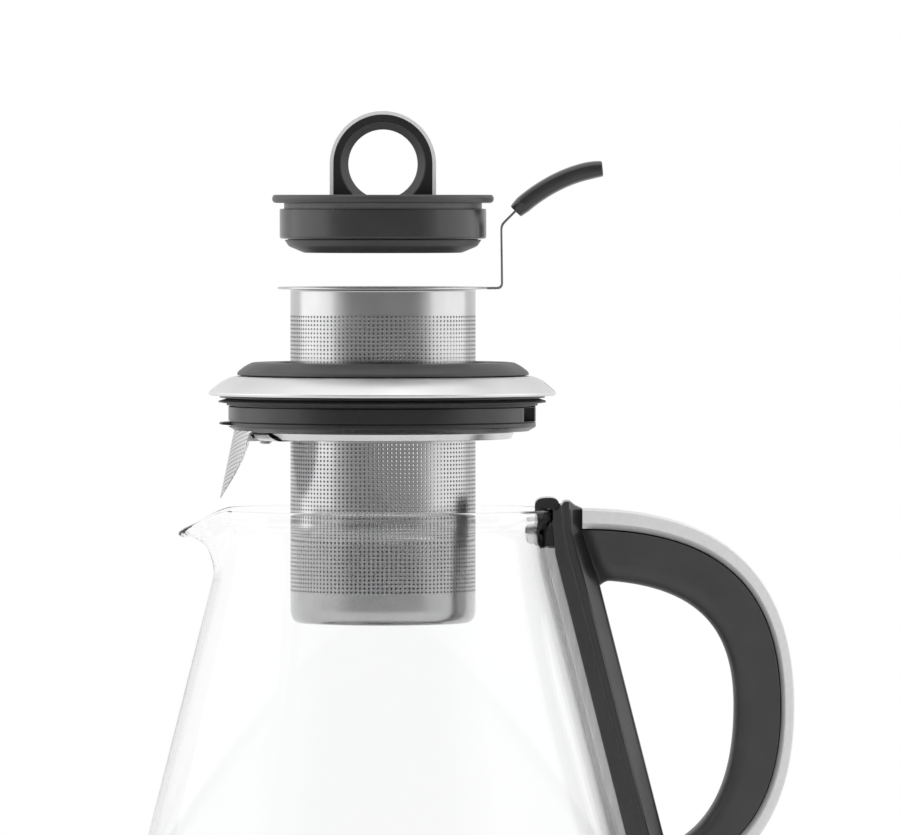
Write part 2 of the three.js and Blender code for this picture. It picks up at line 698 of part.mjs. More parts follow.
const COVER_BOTTOM = DISH_HEIGHT + SEAT_GAP;
const COVER_RECESS_RADIUS = SWIVEL_RING_OUTER + SWIVEL_GAP;
const SHELF_BOTTOM = COVER_TOP + SEAT_GAP;
const SHELF_TOP = SHELF_BOTTOM + BAND_WALL;
const COVER_FLOOR_TOP = COVER_BOTTOM + COVER_WALL;

function snout() {
  const root = COVER_SHOULDER_RADIUS - COVER_WALL;
  return plate([
    [root, SNOUT_BOTTOM],
    [SNOUT_REACH - SNOUT_CHIN_RUN, SNOUT_BOTTOM],
    [SNOUT_REACH, SNOUT_BOTTOM + SNOUT_CHIN_RISE],
    [SNOUT_REACH, SNOUT_TOP - SNOUT_BROW],
    [SNOUT_REACH - SNOUT_BROW, SNOUT_TOP],
    [root, SNOUT_TOP],
  ], SNOUT_WIDTH);
}

// The room above the cover's rim that the steel band fills.
function bandRoom() {
  const radius = BAND_RADIUS + SEAT_GAP;
  return rod(radius, COVER_TOP, SNOUT_TOP + CUT_OVERRUN, BASE_FACETS);
}

function switchPocket() {
  const middle = SWITCH_AXIS_HEIGHT;
  return block(
    [SNOUT_REACH - SWITCH_POCKET_DEPTH, -SWITCH_POCKET_WIDTH / 2, middle - SWITCH_POCKET_HEIGHT / 2],
    [SNOUT_REACH + CUT_OVERRUN, SWITCH_POCKET_WIDTH / 2, middle + SWITCH_POCKET_HEIGHT / 2],
  );
}

function lampWindow(play) {
  const middle = SWITCH_AXIS_HEIGHT + LAMP_RISE;
  return block(
    [SNOUT_REACH - LAMP_DEPTH - play, -LAMP_WIDTH / 2 - play, middle - LAMP_HEIGHT / 2 - play],
    [SNOUT_REACH + (play > 0 ? CUT_OVERRUN : 0), LAMP_WIDTH / 2 + play, middle + LAMP_HEIGHT / 2 + play],
  );
}

// The switch's pin lies across the pocket, with each end in the snout's side wall.
function switchPin(play) {
  const half = SWITCH_POCKET_WIDTH / 2 + PIN_ENTRY + play;
  const pin = rod(PIN_RADIUS + play, -half, half);
  pin.rotateX(Math.PI / 2);
  return pin.translate(SNOUT_REACH - SWITCH_AXIS_INSET, 0, SWITCH_AXIS_HEIGHT);
}

function jugBaseCover() {
  const innerTop = COVER_TOP_RADIUS - COVER_WALL;
  const innerFloor = COVER_SHOULDER_RADIUS - COVER_WALL;
  const roofTop = COVER_ROOF_HEIGHT;
  const roofBottom = COVER_ROOF_HEIGHT - COVER_WALL;
  const stemHole = CONTROL_STEM_RADIUS + SLIP_GAP;
  const shell = turned([
    [COVER_RECESS_RADIUS, COVER_BOTTOM],
    [COVER_FOOT_RADIUS, COVER_BOTTOM],
    [COVER_SHOULDER_RADIUS, COVER_BOTTOM + COVER_SHOULDER_RISE],
    [COVER_TOP_RADIUS, COVER_TOP],
    [innerTop, COVER_TOP],
    [innerFloor, COVER_BOTTOM + COVER_SHOULDER_RISE + COVER_WALL],
    [COVER_FOOT_RADIUS - COVER_WALL, COVER_FLOOR_TOP],
    [COVER_RECESS_RADIUS + COVER_WALL, COVER_FLOOR_TOP],
    [COVER_RECESS_RADIUS + COVER_WALL, roofTop],
    [stemHole, roofTop],
    [stemHole, roofBottom],
    [COVER_RECESS_RADIUS, roofBottom],
  ], BASE_FACETS);
  const boss = rod(BOSS_RADIUS, COVER_FLOOR_TOP - COVER_WALL / 2, COVER_TOP);
  const angle = Math.PI / COVER_SCREW_COUNT;
  const bosses = aroundAxis(boss, COVER_SCREW_COUNT, COVER_SCREW_CIRCLE, angle);
  const whole = join(cut(snout(), bandRoom()), shell, ...bosses);
  const seat = COVER_BOTTOM + COVER_SCREW_SINK + SCREW_HEAD_HEIGHT;
  const head = rod(SCREW_HEAD_RADIUS + SCREW_PLAY, COVER_BOTTOM - CUT_OVERRUN, seat);
  const shank = rod(SCREW_SHANK_RADIUS + SCREW_PLAY, COVER_BOTTOM, COVER_TOP + CUT_OVERRUN);
  return cut(
    whole,
    ...aroundAxis(head, COVER_SCREW_COUNT, COVER_SCREW_CIRCLE, angle),
    ...aroundAxis(shank, COVER_SCREW_COUNT, COVER_SCREW_CIRCLE, angle),
    switchPocket(),
    switchPin(SEAT_GAP),
    lampWindow(SEAT_GAP),
  );
}

function baseBand() {
  const inside = BAND_RADIUS - BAND_WALL;
  const band = turned([
    [BAND_SHELF_RADIUS, SHELF_BOTTOM],
    [BAND_RADIUS, SHELF_BOTTOM],
    [BAND_RADIUS, BAND_TOP - BAND_LIP],
    [BAND_RADIUS - BAND_LIP, BAND_TOP],
    [inside, BAND_TOP],
    [inside, SHELF_TOP],
    [BAND_SHELF_RADIUS, SHELF_TOP],
  ], BASE_FACETS);
  const hole = rod(SCREW_SHANK_RADIUS + SCREW_PLAY, SHELF_BOTTOM - CUT_OVERRUN, SHELF_TOP + CUT_OVERRUN);
  return cut(band, ...aroundAxis(hole, COVER_SCREW_COUNT, COVER_SCREW_CIRCLE, Math.PI / COVER_SCREW_COUNT));
}

const SKIRT_RADIUS = GLASS_FOOT_RADIUS - GLASS_WALL - SLIP_GAP;

function heatingPlate() {
  const inside = SKIRT_RADIUS - PLATE_THICKNESS;
  const foot = SHELF_TOP + SEAT_GAP;
  return turned([
    [0, PLATE_TOP - PLATE_THICKNESS],
    [inside, PLATE_TOP - PLATE_THICKNESS],
    [inside, foot],
    [SKIRT_RADIUS, foot],
    [SKIRT_RADIUS, PLATE_TOP - PLATE_CORNER],
    [SKIRT_RADIUS - PLATE_CORNER, PLATE_TOP],
    [0, PLATE_TOP],
  ], BASE_FACETS);
}

function plateSeal() {
  return turned([
    [SKIRT_RADIUS + SEAT_GAP, SHELF_TOP + SEAT_GAP],
    [BAND_RADIUS - BAND_WALL - SEAT_GAP, SHELF_TOP + SEAT_GAP],
    [BAND_RADIUS - BAND_WALL - SEAT_GAP, GLASS_FOOT - SEAT_GAP],
    [SKIRT_RADIUS + SEAT_GAP, GLASS_FOOT - SEAT_GAP],
  ], BASE_FACETS);
}

// The tube runs in an open ring under the plate and turns down at both ends.
class ElementRoute extends THREE.Curve {
  getPoint(share, target = new THREE.Vector3()) {
    const ring = ELEMENT_CIRCLE * (2 * Math.PI - ELEMENT_GAP_ANGLE);
    const whole = ring + 2 * ELEMENT_TAIL;
    const along = share * whole - ELEMENT_TAIL;
    const clamped = Math.min(Math.max(along, 0), ring);
    const angle = Math.PI + ELEMENT_GAP_ANGLE / 2 + clamped / ELEMENT_CIRCLE;
    const down = Math.abs(along - clamped);
    return target.set(ELEMENT_CIRCLE * Math.cos(angle), ELEMENT_CIRCLE * Math.sin(angle), -down);
  }
}

function heatingElement() {
  const route = new ElementRoute();
  const middle = PLATE_TOP - PLATE_THICKNESS - SEAT_GAP - ELEMENT_RADIUS;
  const rings = Array.from({ length: ELEMENT_STEPS + 1 }, (_, i) => {
    const share = i / ELEMENT_STEPS;
    const centre = route.getPoint(share);
    const radial = new THREE.Vector3(centre.x, centre.y, 0).normalize();
    const across = new THREE.Vector3().crossVectors(route.getTangent(share), radial).normalize();
    return Array.from({ length: ELEMENT_SIDES }, (_, j) => {
      const turn = (j * 2 * Math.PI) / ELEMENT_SIDES;
      const point = centre.clone().addScaledVector(radial, ELEMENT_RADIUS * Math.cos(turn));
      return point.addScaledVector(across, ELEMENT_RADIUS * Math.sin(turn));
    });
  });
  return lofted(rings).translate(0, 0, middle);
}

function thermalControl() {
  const top = PLATE_TOP - PLATE_THICKNESS - SEAT_GAP;
  const bottom = COVER_ROOF_HEIGHT + SEAT_GAP;
  const step = bottom + (top - bottom) * CONTROL_LOWER_SHARE;
  return turned([
    [0, DISH_HEIGHT + CONNECTOR_RISE + SLIP_GAP],
    [CONTROL_STEM_RADIUS, DISH_HEIGHT + CONNECTOR_RISE + SLIP_GAP],
    [CONTROL_STEM_RADIUS, bottom],
    [CONTROL_RADIUS, bottom],
    [CONTROL_RADIUS, step],
    [CONTROL_RADIUS * CONTROL_WAIST_SHARE, step],
    [CONTROL_RADIUS * CONTROL_WAIST_SHARE, top],
    [0, top],
  ], CONTROL_FACETS);
}

// Glass jug

const FOOT_WALL_TOP = GLASS_HEIGHT - GLASS_FOOT_RISE;

// The wall's outline, each row [radius, drop below the rim], up the outside and down the inside.
function glassRows() {
  const flare = NECK_RADIUS + (RIM_RADIUS - NECK_RADIUS) * NECK_FLARE_SHARE;
  const inner = (radius) => radius - GLASS_WALL;
  return [
    [GLASS_FOOT_RADIUS, GLASS_HEIGHT],
    [GLASS_FOOT_RADIUS, FOOT_WALL_TOP],
    [SHOULDER_RADIUS, SHOULDER_DROP],
    [NECK_RADIUS, NECK_BOTTOM_DROP],
    [NECK_RADIUS, NECK_TOP_DROP],
    [flare, (NECK_TOP_DROP + RIM_DEPTH) / 2],
    [RIM_RADIUS, RIM_DEPTH],
    [RIM_RADIUS, RIM_ROUND],
    [RIM_RADIUS - RIM_ROUND, 0],
    [inner(RIM_RADIUS) + RIM_ROUND, 0],
    [inner(RIM_RADIUS), RIM_ROUND],
    [inner(RIM_RADIUS), RIM_DEPTH],
    [inner(NECK_RADIUS), NECK_TOP_DROP],
    [inner(NECK_RADIUS), NECK_BOTTOM_DROP],
    [inner(SHOULDER_RADIUS), SHOULDER_DROP],
    [inner(GLASS_FOOT_RADIUS), FOOT_WALL_TOP],
    [inner(GLASS_FOOT_RADIUS), GLASS_HEIGHT],
  ];
}

// How much of the spout there is at an angle from its middle: a smooth hump that ends at the half angle.
function spoutShare(angle) {
  const away = Math.abs(Math.atan2(Math.sin(angle), Math.cos(angle))) / SPOUT_HALF_ANGLE;
  return away < 1 ? Math.cos((away * Math.PI) / 2) ** 2 : 0;
}

// Each row is pulled out and down round the spout by its own share of the spout's reach and dip.
function glassJug() {
  const rows = glassRows();
  const reachShares = [...SPOUT_OUTER_REACH_SHARES, ...SPOUT_INNER_REACH_SHARES];
  const dipShares = [...SPOUT_OUTER_DIP_SHARES, ...SPOUT_INNER_DIP_SHARES];
  const rings = Array.from({ length: JUG_FACETS }, (_, i) => {
    const angle = (i * 2 * Math.PI) / JUG_FACETS;
    const share = spoutShare(angle - Math.PI);
    return rows.map(([radius, drop], row) => {
      const distance = radius + SPOUT_REACH * reachShares[row] * share;
      const height = RIM_HEIGHT - drop - SPOUT_DIP * dipShares[row] * share;
      return new THREE.Vector3(distance * Math.cos(angle), distance * Math.sin(angle), height);
    });
  });
  return lofted(rings, true);
}

// Outer radius of the glass at a drop below the rim, along the cone or the shoulder above it.
function glassRadius(drop) {
  if (drop < SHOULDER_DROP) {
    const share = (SHOULDER_DROP - drop) / (SHOULDER_DROP - NECK_BOTTOM_DROP);
    return SHOULDER_RADIUS + (NECK_RADIUS - SHOULDER_RADIUS) * Math.min(share, 1);
  }
  const slope = (GLASS_FOOT_RADIUS - SHOULDER_RADIUS) / (FOOT_WALL_TOP - SHOULDER_DROP);
  return SHOULDER_RADIUS + slope * (drop - SHOULDER_DROP);
}

// Handle

const STRAP_BOTTOM_DROP = RIM_HEIGHT - SNOUT_TOP - SEAT_GAP;
const HOOK_OUTER = RIM_RADIUS + SEAT_GAP + HOOK_WALL;

function strapBack(drop) {
  const knee = SHOULDER_DROP;
  if (drop >= knee) return glassRadius(drop) + STRAP_BACK;
  const kneeReach = glassRadius(knee) + STRAP_BACK;
  return STRAP_CREST_REACH + ((kneeReach - STRAP_CREST_REACH) * drop) / knee;
}

// A level section of the strap between its front and its back: two small steps in each side, then
// sides that lean in to a narrow back.
function strapSection(front, back, drop) {
  const half = STRAP_WIDTH / 2;
  const reach = (share) => front + (back - front) * share;
  const [first, second] = STRAP_STEP_SHARES;
  const side = [
    [front, half],
    [reach(first) - STRAP_STEP, half],
    [reach(first), half - STRAP_STEP],
    [reach(second), half - STRAP_STEP],
    [reach(second), half - 2 * STRAP_STEP],
    [back, STRAP_BACK_WIDTH / 2],
  ];
  const mirrored = side.map(([x, y]) => [x, -y]).reverse();
  return [...side, ...mirrored].map(([x, y]) => new THREE.Vector3(x, y, RIM_HEIGHT - drop));
}

function handleStrap() {
  const foot = glassRadius(STRAP_BOTTOM_DROP) + STRAP_FRONT;
  const head = glassRadius(SPINE_TOP_DROP) + STRAP_FRONT;
  const front = (drop) => {
    const share = (STRAP_BOTTOM_DROP - drop) / (STRAP_BOTTOM_DROP - SPINE_TOP_DROP);
    return foot + (head - foot) * share;
  };
  const plinth = (drop) => strapSection(front(drop), strapBack(drop), drop);
  const upper = HOOK_OUTER + SEAT_GAP;
  const ledge = SPINE_TOP_DROP - STRAP_LEDGE_RISE;
  const strap = lofted([
    plinth(STRAP_BOTTOM_DROP),
    plinth(SHOULDER_DROP),
    plinth(SPINE_TOP_DROP),
    strapSection(upper, strapBack(ledge), ledge),
    strapSection(upper, STRAP_CREST_REACH, 0),
    strapSection(upper, STRAP_SHOULDER_REACH, -STRAP_SHOULDER_RISE),
  ]);
  return cut(strap, bandClearance(), ...handleScrewHoles());
}

// The band at the jug's foot with a gap round it.
function bandClearance() {
  return rod(BAND_RADIUS + SEAT_GAP, SHELF_BOTTOM - CUT_OVERRUN, BAND_TOP + SEAT_GAP, BASE_FACETS);
}

function handleSpine() {
  const inner = (drop) => glassRadius(drop) + SEAT_GAP;
  const outer = (drop) => glassRadius(drop) + STRAP_FRONT - SEAT_GAP;
  const foot = RIM_HEIGHT - BAND_TOP - 2 * SEAT_GAP;
  return plate([
    [inner(foot), RIM_HEIGHT - foot],
    [outer(foot), RIM_HEIGHT - foot],
    [outer(SPINE_TOP_DROP), RIM_HEIGHT - SPINE_TOP_DROP],
    [inner(SPINE_TOP_DROP) + SEAT_GAP, RIM_HEIGHT - SPINE_TOP_DROP],
  ], SPINE_WIDTH);
}

// One edge line of the handle's D, from the strap round to the strap again: a curve out to the far side
// and its mirror image back, each [reach, drop].
function handleEdge(startReach, startDrop, farReach, midDrop, endDrop, pullShares) {
  const half = (nearDrop) => new THREE.CubicBezierCurve(
    new THREE.Vector2(startReach, nearDrop),
    new THREE.Vector2(startReach + (farReach - startReach) * pullShares[0], nearDrop),
    new THREE.Vector2(farReach, midDrop + (nearDrop - midDrop) * pullShares[1]),
    new THREE.Vector2(farReach, midDrop),
  );
  const upper = half(startDrop);
  const lower = half(endDrop);
  const upperStart = meetsStrap(upper);
  const lowerStart = meetsStrap(lower);
  return (share) => {
    if (share <= 0.5) return upper.getPoint(upperStart + (1 - upperStart) * share * 2);
    return lower.getPoint(lowerStart + (1 - lowerStart) * (1 - share) * 2);
  };
}

// Where a curve leaves the strap's back with a gap: halved again and again between its two ends.
function meetsStrap(curve) {
  let inside = 0;
  let outside = 1;
  for (let step = 0; step < HANDLE_HALVINGS; step++) {
    const middle = (inside + outside) / 2;
    const point = curve.getPoint(middle);
    if (point.x < strapBack(point.y) + SEAT_GAP) inside = middle;
    else outside = middle;
  }
  return outside;
}

const TRIM_OUTER = handleEdge(
  STRAP_CREST_REACH, 0, HANDLE_REACH, HANDLE_MID_DROP, HANDLE_HEIGHT, TRIM_PULL_SHARES,
);
const TRIM_INNER = handleEdge(
  STRAP_CREST_REACH, TRIM_TOP_THICKNESS, HANDLE_REACH - TRIM_SIDE_THICKNESS, HANDLE_MID_DROP,
  HANDLE_HEIGHT - TRIM_TOP_THICKNESS, TRIM_INNER_PULL_SHARES,
);
const GRIP_OUTER = handleEdge(
  STRAP_CREST_REACH, TRIM_TOP_THICKNESS + SEAT_GAP, HANDLE_REACH - TRIM_SIDE_THICKNESS - SEAT_GAP,
  HANDLE_MID_DROP, HANDLE_HEIGHT - TRIM_TOP_THICKNESS - SEAT_GAP, TRIM_INNER_PULL_SHARES,
);
const GRIP_INNER = handleEdge(
  STRAP_CREST_REACH, TRIM_TOP_THICKNESS + GRIP_TOP_THICKNESS,
  HANDLE_REACH - TRIM_SIDE_THICKNESS - GRIP_SIDE_THICKNESS, HANDLE_MID_DROP,
  HANDLE_HEIGHT - TRIM_TOP_THICKNESS - GRIP_TOP_THICKNESS, GRIP_PULL_SHARES,
);

// Sections between two edge lines: a squareness of 1 makes them oval, a smaller one nearly square.
function betweenEdges(inner, outer, width, corners, squareness) {
  const rings = Array.from({ length: HANDLE_STEPS + 1 }, (_, i) => {
    const low = inner(i / HANDLE_STEPS);
    const high = outer(i / HANDLE_STEPS);
    const centre = low.clone().add(high).divideScalar(2);
    const arm = high.clone().sub(low).divideScalar(2);
    return Array.from({ length: corners }, (_, j) => {
      const turn = ((2 * j + 1) * Math.PI) / corners;
      const along = squared(Math.cos(turn), squareness);
      const across = squared(Math.sin(turn), squareness);
      const reach = centre.x + arm.x * along;
      const drop = centre.y + arm.y * along;
      return new THREE.Vector3(reach, (across * width) / 2, RIM_HEIGHT - drop);
    });
  });
  return lofted(rings);
}

// A sine or cosine pushed out towards 1 or -1 by a power below 1.
function squared(value, squareness) {
  return Math.sign(value) * Math.abs(value) ** squareness;
}

function handleGrip() {
  const grip = betweenEdges(GRIP_INNER, GRIP_OUTER, GRIP_WIDTH, GRIP_CORNERS, GRIP_SQUARENESS);
  return cut(grip, ...handleScrewHoles());
}

function handleTrim() {
  return betweenEdges(TRIM_INNER, TRIM_OUTER, TRIM_WIDTH, TRIM_CORNERS, TRIM_SQUARENESS);
}

// Two screws go from the strap's front into the foot of the grip.
function handleScrewPlace(geometry, side) {
  const placed = geometry.clone().rotateY(Math.PI / 2);
  const seat = glassRadius(HANDLE_SCREW_DROP) + STRAP_FRONT + SCREW_HEAD_HEIGHT + SLIP_GAP;
  return placed.translate(seat, side * (GRIP_WIDTH / 4), RIM_HEIGHT - HANDLE_SCREW_DROP);
}

function handleScrewHoles() {
  const head = rod(SCREW_HEAD_RADIUS + SCREW_PLAY, -SCREW_HEAD_HEIGHT - CUT_OVERRUN, SCREW_PLAY);
  const shank = screwHole(HANDLE_SCREW_LENGTH);
  return [-1, 1].flatMap((side) => [handleScrewPlace(head, side), handleScrewPlace(shank, side)]);
}

// Hook over the rim

function rimHook() {
  const neckOuter = NECK_RADIUS + SEAT_GAP;
  const neckInner = NECK_RADIUS - GLASS_WALL - SEAT_GAP;
  const rimOuter = RIM_RADIUS + SEAT_GAP;
  const rimInner = RIM_RADIUS - GLASS_WALL - SEAT_GAP;
  const outerFace = HOOK_OUTER;
  const innerFace = neckInner - HOOK_WALL;
  const top = RIM_HEIGHT + HOOK_RISE;
  const springing = RIM_HEIGHT + HOOK_RISE / 4;
  const shape = new THREE.Shape();
  shape.moveTo(outerFace, RIM_HEIGHT - HOOK_DROP);
  shape.lineTo(outerFace, springing);
  shape.quadraticCurveTo(outerFace, top, (outerFace + rimInner) / 2, top);
  shape.quadraticCurveTo(innerFace, top, innerFace, springing - HOOK_RISE / 2);
  shape.lineTo(innerFace, RIM_HEIGHT - HOOK_DROP);
  shape.lineTo(neckInner, RIM_HEIGHT - HOOK_DROP);
  shape.lineTo(neckInner, RIM_HEIGHT - NECK_TOP_DROP);
  shape.lineTo(rimInner, RIM_HEIGHT - RIM_DEPTH);
  shape.lineTo(rimInner, RIM_HEIGHT + SEAT_GAP);
  shape.lineTo(rimOuter, RIM_HEIGHT + SEAT_GAP);
  shape.lineTo(rimOuter, RIM_HEIGHT - RIM_DEPTH - SEAT_GAP);
  shape.lineTo(neckOuter, RIM_HEIGHT - NECK_TOP_DROP);
  shape.lineTo(neckOuter, RIM_HEIGHT - HOOK_DROP);
  return cut(plateOf(shape, HOOK_WIDTH, HOOK_FACETS), roomRoundGlass(), clipScrewHole());
}

// The rim's inner face curves, so the hook's flat legs are hollowed to the same curve.
function roomRoundGlass() {
  return turned([
    [NECK_RADIUS - GLASS_WALL - SEAT_GAP, RIM_HEIGHT - HOOK_DROP - CUT_OVERRUN],
    [NECK_RADIUS + SEAT_GAP, RIM_HEIGHT - HOOK_DROP - CUT_OVERRUN],
    [NECK_RADIUS + SEAT_GAP, RIM_HEIGHT - NECK_TOP_DROP],
    [RIM_RADIUS + SEAT_GAP, RIM_HEIGHT - RIM_DEPTH - SEAT_GAP],
    [RIM_RADIUS + SEAT_GAP, RIM_HEIGHT + SEAT_GAP],
    [RIM_RADIUS - GLASS_WALL - SEAT_GAP, RIM_HEIGHT + SEAT_GAP],
    [RIM_RADIUS - GLASS_WALL - SEAT_GAP, RIM_HEIGHT - RIM_DEPTH],
    [NECK_RADIUS - GLASS_WALL - SEAT_GAP, RIM_HEIGHT - NECK_TOP_DROP],
  ], JUG_FACETS);
}

const HOOK_INNER = NECK_RADIUS - GLASS_WALL - SEAT_GAP - HOOK_WALL;
const CLIP_HEIGHT = RIM_HEIGHT - (PAD_TOP_DROP + PAD_BOTTOM_DROP) / 2;

function clipPad() {
  const back = HOOK_INNER - SEAT_GAP;
  const face = back - PAD_THICKNESS;
  const top = RIM_HEIGHT - PAD_TOP_DROP;
  const bottom = RIM_HEIGHT - PAD_BOTTOM_DROP;
  const pad = plate([
    [face, bottom + PAD_CORNER],
    [face + PAD_CORNER, bottom],
    [back, bottom],
    [back, top],
    [face + PAD_CORNER, top],
    [face, top - PAD_CORNER],
  ], PAD_WIDTH);
  return cut(pad, clipScrewHole());
}

function clipScrewHole() {
  const face = HOOK_INNER - SEAT_GAP - PAD_THICKNESS;
  const hole = rod(CLIP_SCREW_RADIUS + SEAT_GAP, -CUT_OVERRUN, HOOK_WALL + PAD_THICKNESS);
  hole.rotateY(Math.PI / 2);
  return hole.translate(face, 0, CLIP_HEIGHT);
}

function clipScrew() {
  const face = HOOK_INNER - SEAT_GAP - PAD_THICKNESS;
  const body = rod(CLIP_SCREW_RADIUS, -CLIP_SCREW_PROUD, HOOK_WALL + PAD_THICKNESS - SEAT_GAP);
  body.rotateY(Math.PI / 2);
  return body.translate(face, 0, CLIP_HEIGHT);
}

function jug() {
  const group = new THREE.Group();
  group.add(part('glass_jug', glassJug(), GLASS));
  group.add(part('heating_plate', heatingPlate(), STEEL));
  group.add(part('plate_seal', plateSeal(), SILICONE));
  group.add(part('heating_element', heatingElement(), STEEL));
  group.add(part('thermal_control', thermalControl(), GREY_PLASTIC));
  group.add(part('base_band', baseBand(), BRUSHED_STEEL));
  group.add(part('jug_base_cover', jugBaseCover(), BLACK_PLASTIC));
  group.add(part('indicator_lens', lampWindow(0), LAMP_PLASTIC));
  group.add(part('handle_strap', handleStrap(), BLACK_PLASTIC));
  group.add(part('handle_spine', handleSpine(), BRUSHED_STEEL));
  group.add(part('handle_grip', handleGrip(), GREY_PLASTIC));
  group.add(part('handle_trim', handleTrim(), SILVER_PLASTIC));
  group.add(part('rim_hook', rimHook(), BLACK_PLASTIC));
  group.add(part('clip_pad', clipPad(), CLEAR_SILICONE));
  group.add(part('clip_screw', clipScrew(), STEEL));
  group.add(part('switch_pin', switchPin(0), STEEL));
  [-1, 1].forEach((side, i) => {
    group.add(part(`handle_screw_${i + 1}`, handleScrewPlace(screw(HANDLE_SCREW_LENGTH), side), STEEL));
  });
  const seat = COVER_BOTTOM + COVER_SCREW_SINK + SCREW_HEAD_HEIGHT - SEAT_GAP;
  const fastener = moved(screw(COVER_SCREW_LENGTH), 0, 0, seat);
  const angle = Math.PI / COVER_SCREW_COUNT;
  aroundAxis(fastener, COVER_SCREW_COUNT, COVER_SCREW_CIRCLE, angle).forEach((copy, i) => {
    group.add(part(`cover_screw_${i + 1}`, copy, STEEL));
  });
  return group;
}

// Switch lever: a barrel on the pin with a paddle that stands out under the handle.
function switchLever() {
  const axis = SNOUT_REACH - SWITCH_AXIS_INSET;
  const width = SWITCH_POCKET_WIDTH - 2 * SLIP_GAP;
  const tip = SNOUT_REACH + SWITCH_REACH;
  const paddle = plate([
    [axis, SWITCH_AXIS_HEIGHT - SWITCH_THICKNESS / 2],
    [SNOUT_REACH, SWITCH_AXIS_HEIGHT - SWITCH_THICKNESS / 2],
    [tip, SWITCH_AXIS_HEIGHT - SWITCH_DIP - SWITCH_TIP_THICKNESS / 2],
    [tip, SWITCH_AXIS_HEIGHT - SWITCH_DIP + SWITCH_TIP_THICKNESS / 2],
    [SNOUT_REACH, SWITCH_AXIS_HEIGHT + SWITCH_THICKNESS / 2],
    [axis, SWITCH_AXIS_HEIGHT + SWITCH_THICKNESS / 2],
  ], width);
  const barrel = rod(SWITCH_BARREL_RADIUS, -width / 2, width / 2);
  barrel.rotateX(Math.PI / 2);
  barrel.translate(axis, 0, SWITCH_AXIS_HEIGHT);
  const bore = rod(PIN_RADIUS + SEAT_GAP, -width, width);
  bore.rotateX(Math.PI / 2);
  bore.translate(axis, 0, SWITCH_AXIS_HEIGHT);
  return cut(join(paddle, barrel), bore);
}

// Collar, with its top face at height zero

const BORE_GAP = BORE_RADIUS - BASKET_RIM_RADIUS;
const TAB_SLOT_REACH = TAB_REACH + TAB_THICKNESS + BORE_GAP;
const SEAT_TOP = -(SEAT_DEPTH + BASKET_RIM_THICKNESS + SEAT_GAP);

// The slot towards the handle that lets the infuser's strap down into the collar.
function tabSlot() {
  const half = TAB_WIDTH / 2 + SLIP_GAP;
  return block([0, -half, SEAT_TOP], [TAB_SLOT_REACH, half, CUT_OVERRUN]);
}

// The slot that clears the hook and pad at the rim, open downwards and outwards.
function hookSlot() {
  const half = HOOK_WIDTH / 2 + SLIP_GAP;
  const top = -(COLLAR_HEIGHT - RIM_HEIGHT - HOOK_RISE - SLIP_GAP);
  const inner = HOOK_INNER - SEAT_GAP - PAD_THICKNESS - CLIP_SCREW_PROUD - SLIP_GAP;
  return block([inner, -half, -BODY_BOTTOM - CUT_OVERRUN], [DOME_RADIUS + CUT_OVERRUN, half, top]);
}

function collarTopRing() {
  const [edge, edgeDrop, shoulder, shoulderDrop] = TOP_RING_BULGE_SHARES;
  const bulge = TOP_RING_RADIUS - TOP_RING_CROWN;
  return cut(turned([
    [BORE_RADIUS, -TOP_RING_HEIGHT],
    [TOP_RING_RADIUS, -TOP_RING_HEIGHT],
    [TOP_RING_CROWN + bulge * edge, -TOP_RING_HEIGHT * edgeDrop],
    [TOP_RING_CROWN + bulge * shoulder, -TOP_RING_HEIGHT * shoulderDrop],
    [TOP_RING_CROWN, 0],
    [BORE_RADIUS + BORE_CHAMFER, 0],
    [BORE_RADIUS, -BORE_CHAMFER],
  ], RING_FACETS), tabSlot());
}

// A point on the dome's outer face: shares of its width and of its height.
function domePoint(across, down, inset = 0) {
  const start = TOP_RING_HEIGHT + SEAT_GAP;
  const width = DOME_RADIUS - DOME_INNER_RADIUS - inset;
  const height = DOME_BOTTOM - DOME_WALL - start;
  return [DOME_INNER_RADIUS + width * across, -start - inset - height * down];
}

function collarDome() {
  const [a, aDown, b, bDown, c, cDown] = DOME_CURVE_SHARES;
  const hemTop = -DOME_BOTTOM + DOME_WALL;
  const dome = turned([
    domePoint(0, 0),
    domePoint(a, aDown),
    domePoint(b, bDown),
    domePoint(c, cDown),
    [DOME_RADIUS, hemTop],
    [DOME_RADIUS - DOME_WALL / 4, -DOME_BOTTOM],
    [DOME_RADIUS - DOME_HEM, -DOME_BOTTOM],
    [DOME_RADIUS - DOME_HEM, hemTop],
    [DOME_RADIUS - DOME_EDGE_WALL, hemTop],
    domePoint(b, bDown, DOME_WALL),
    domePoint(a, aDown, DOME_WALL),
    domePoint(0, 0, DOME_WALL),
  ], RING_FACETS);
  return cut(dome, hookSlot());
}

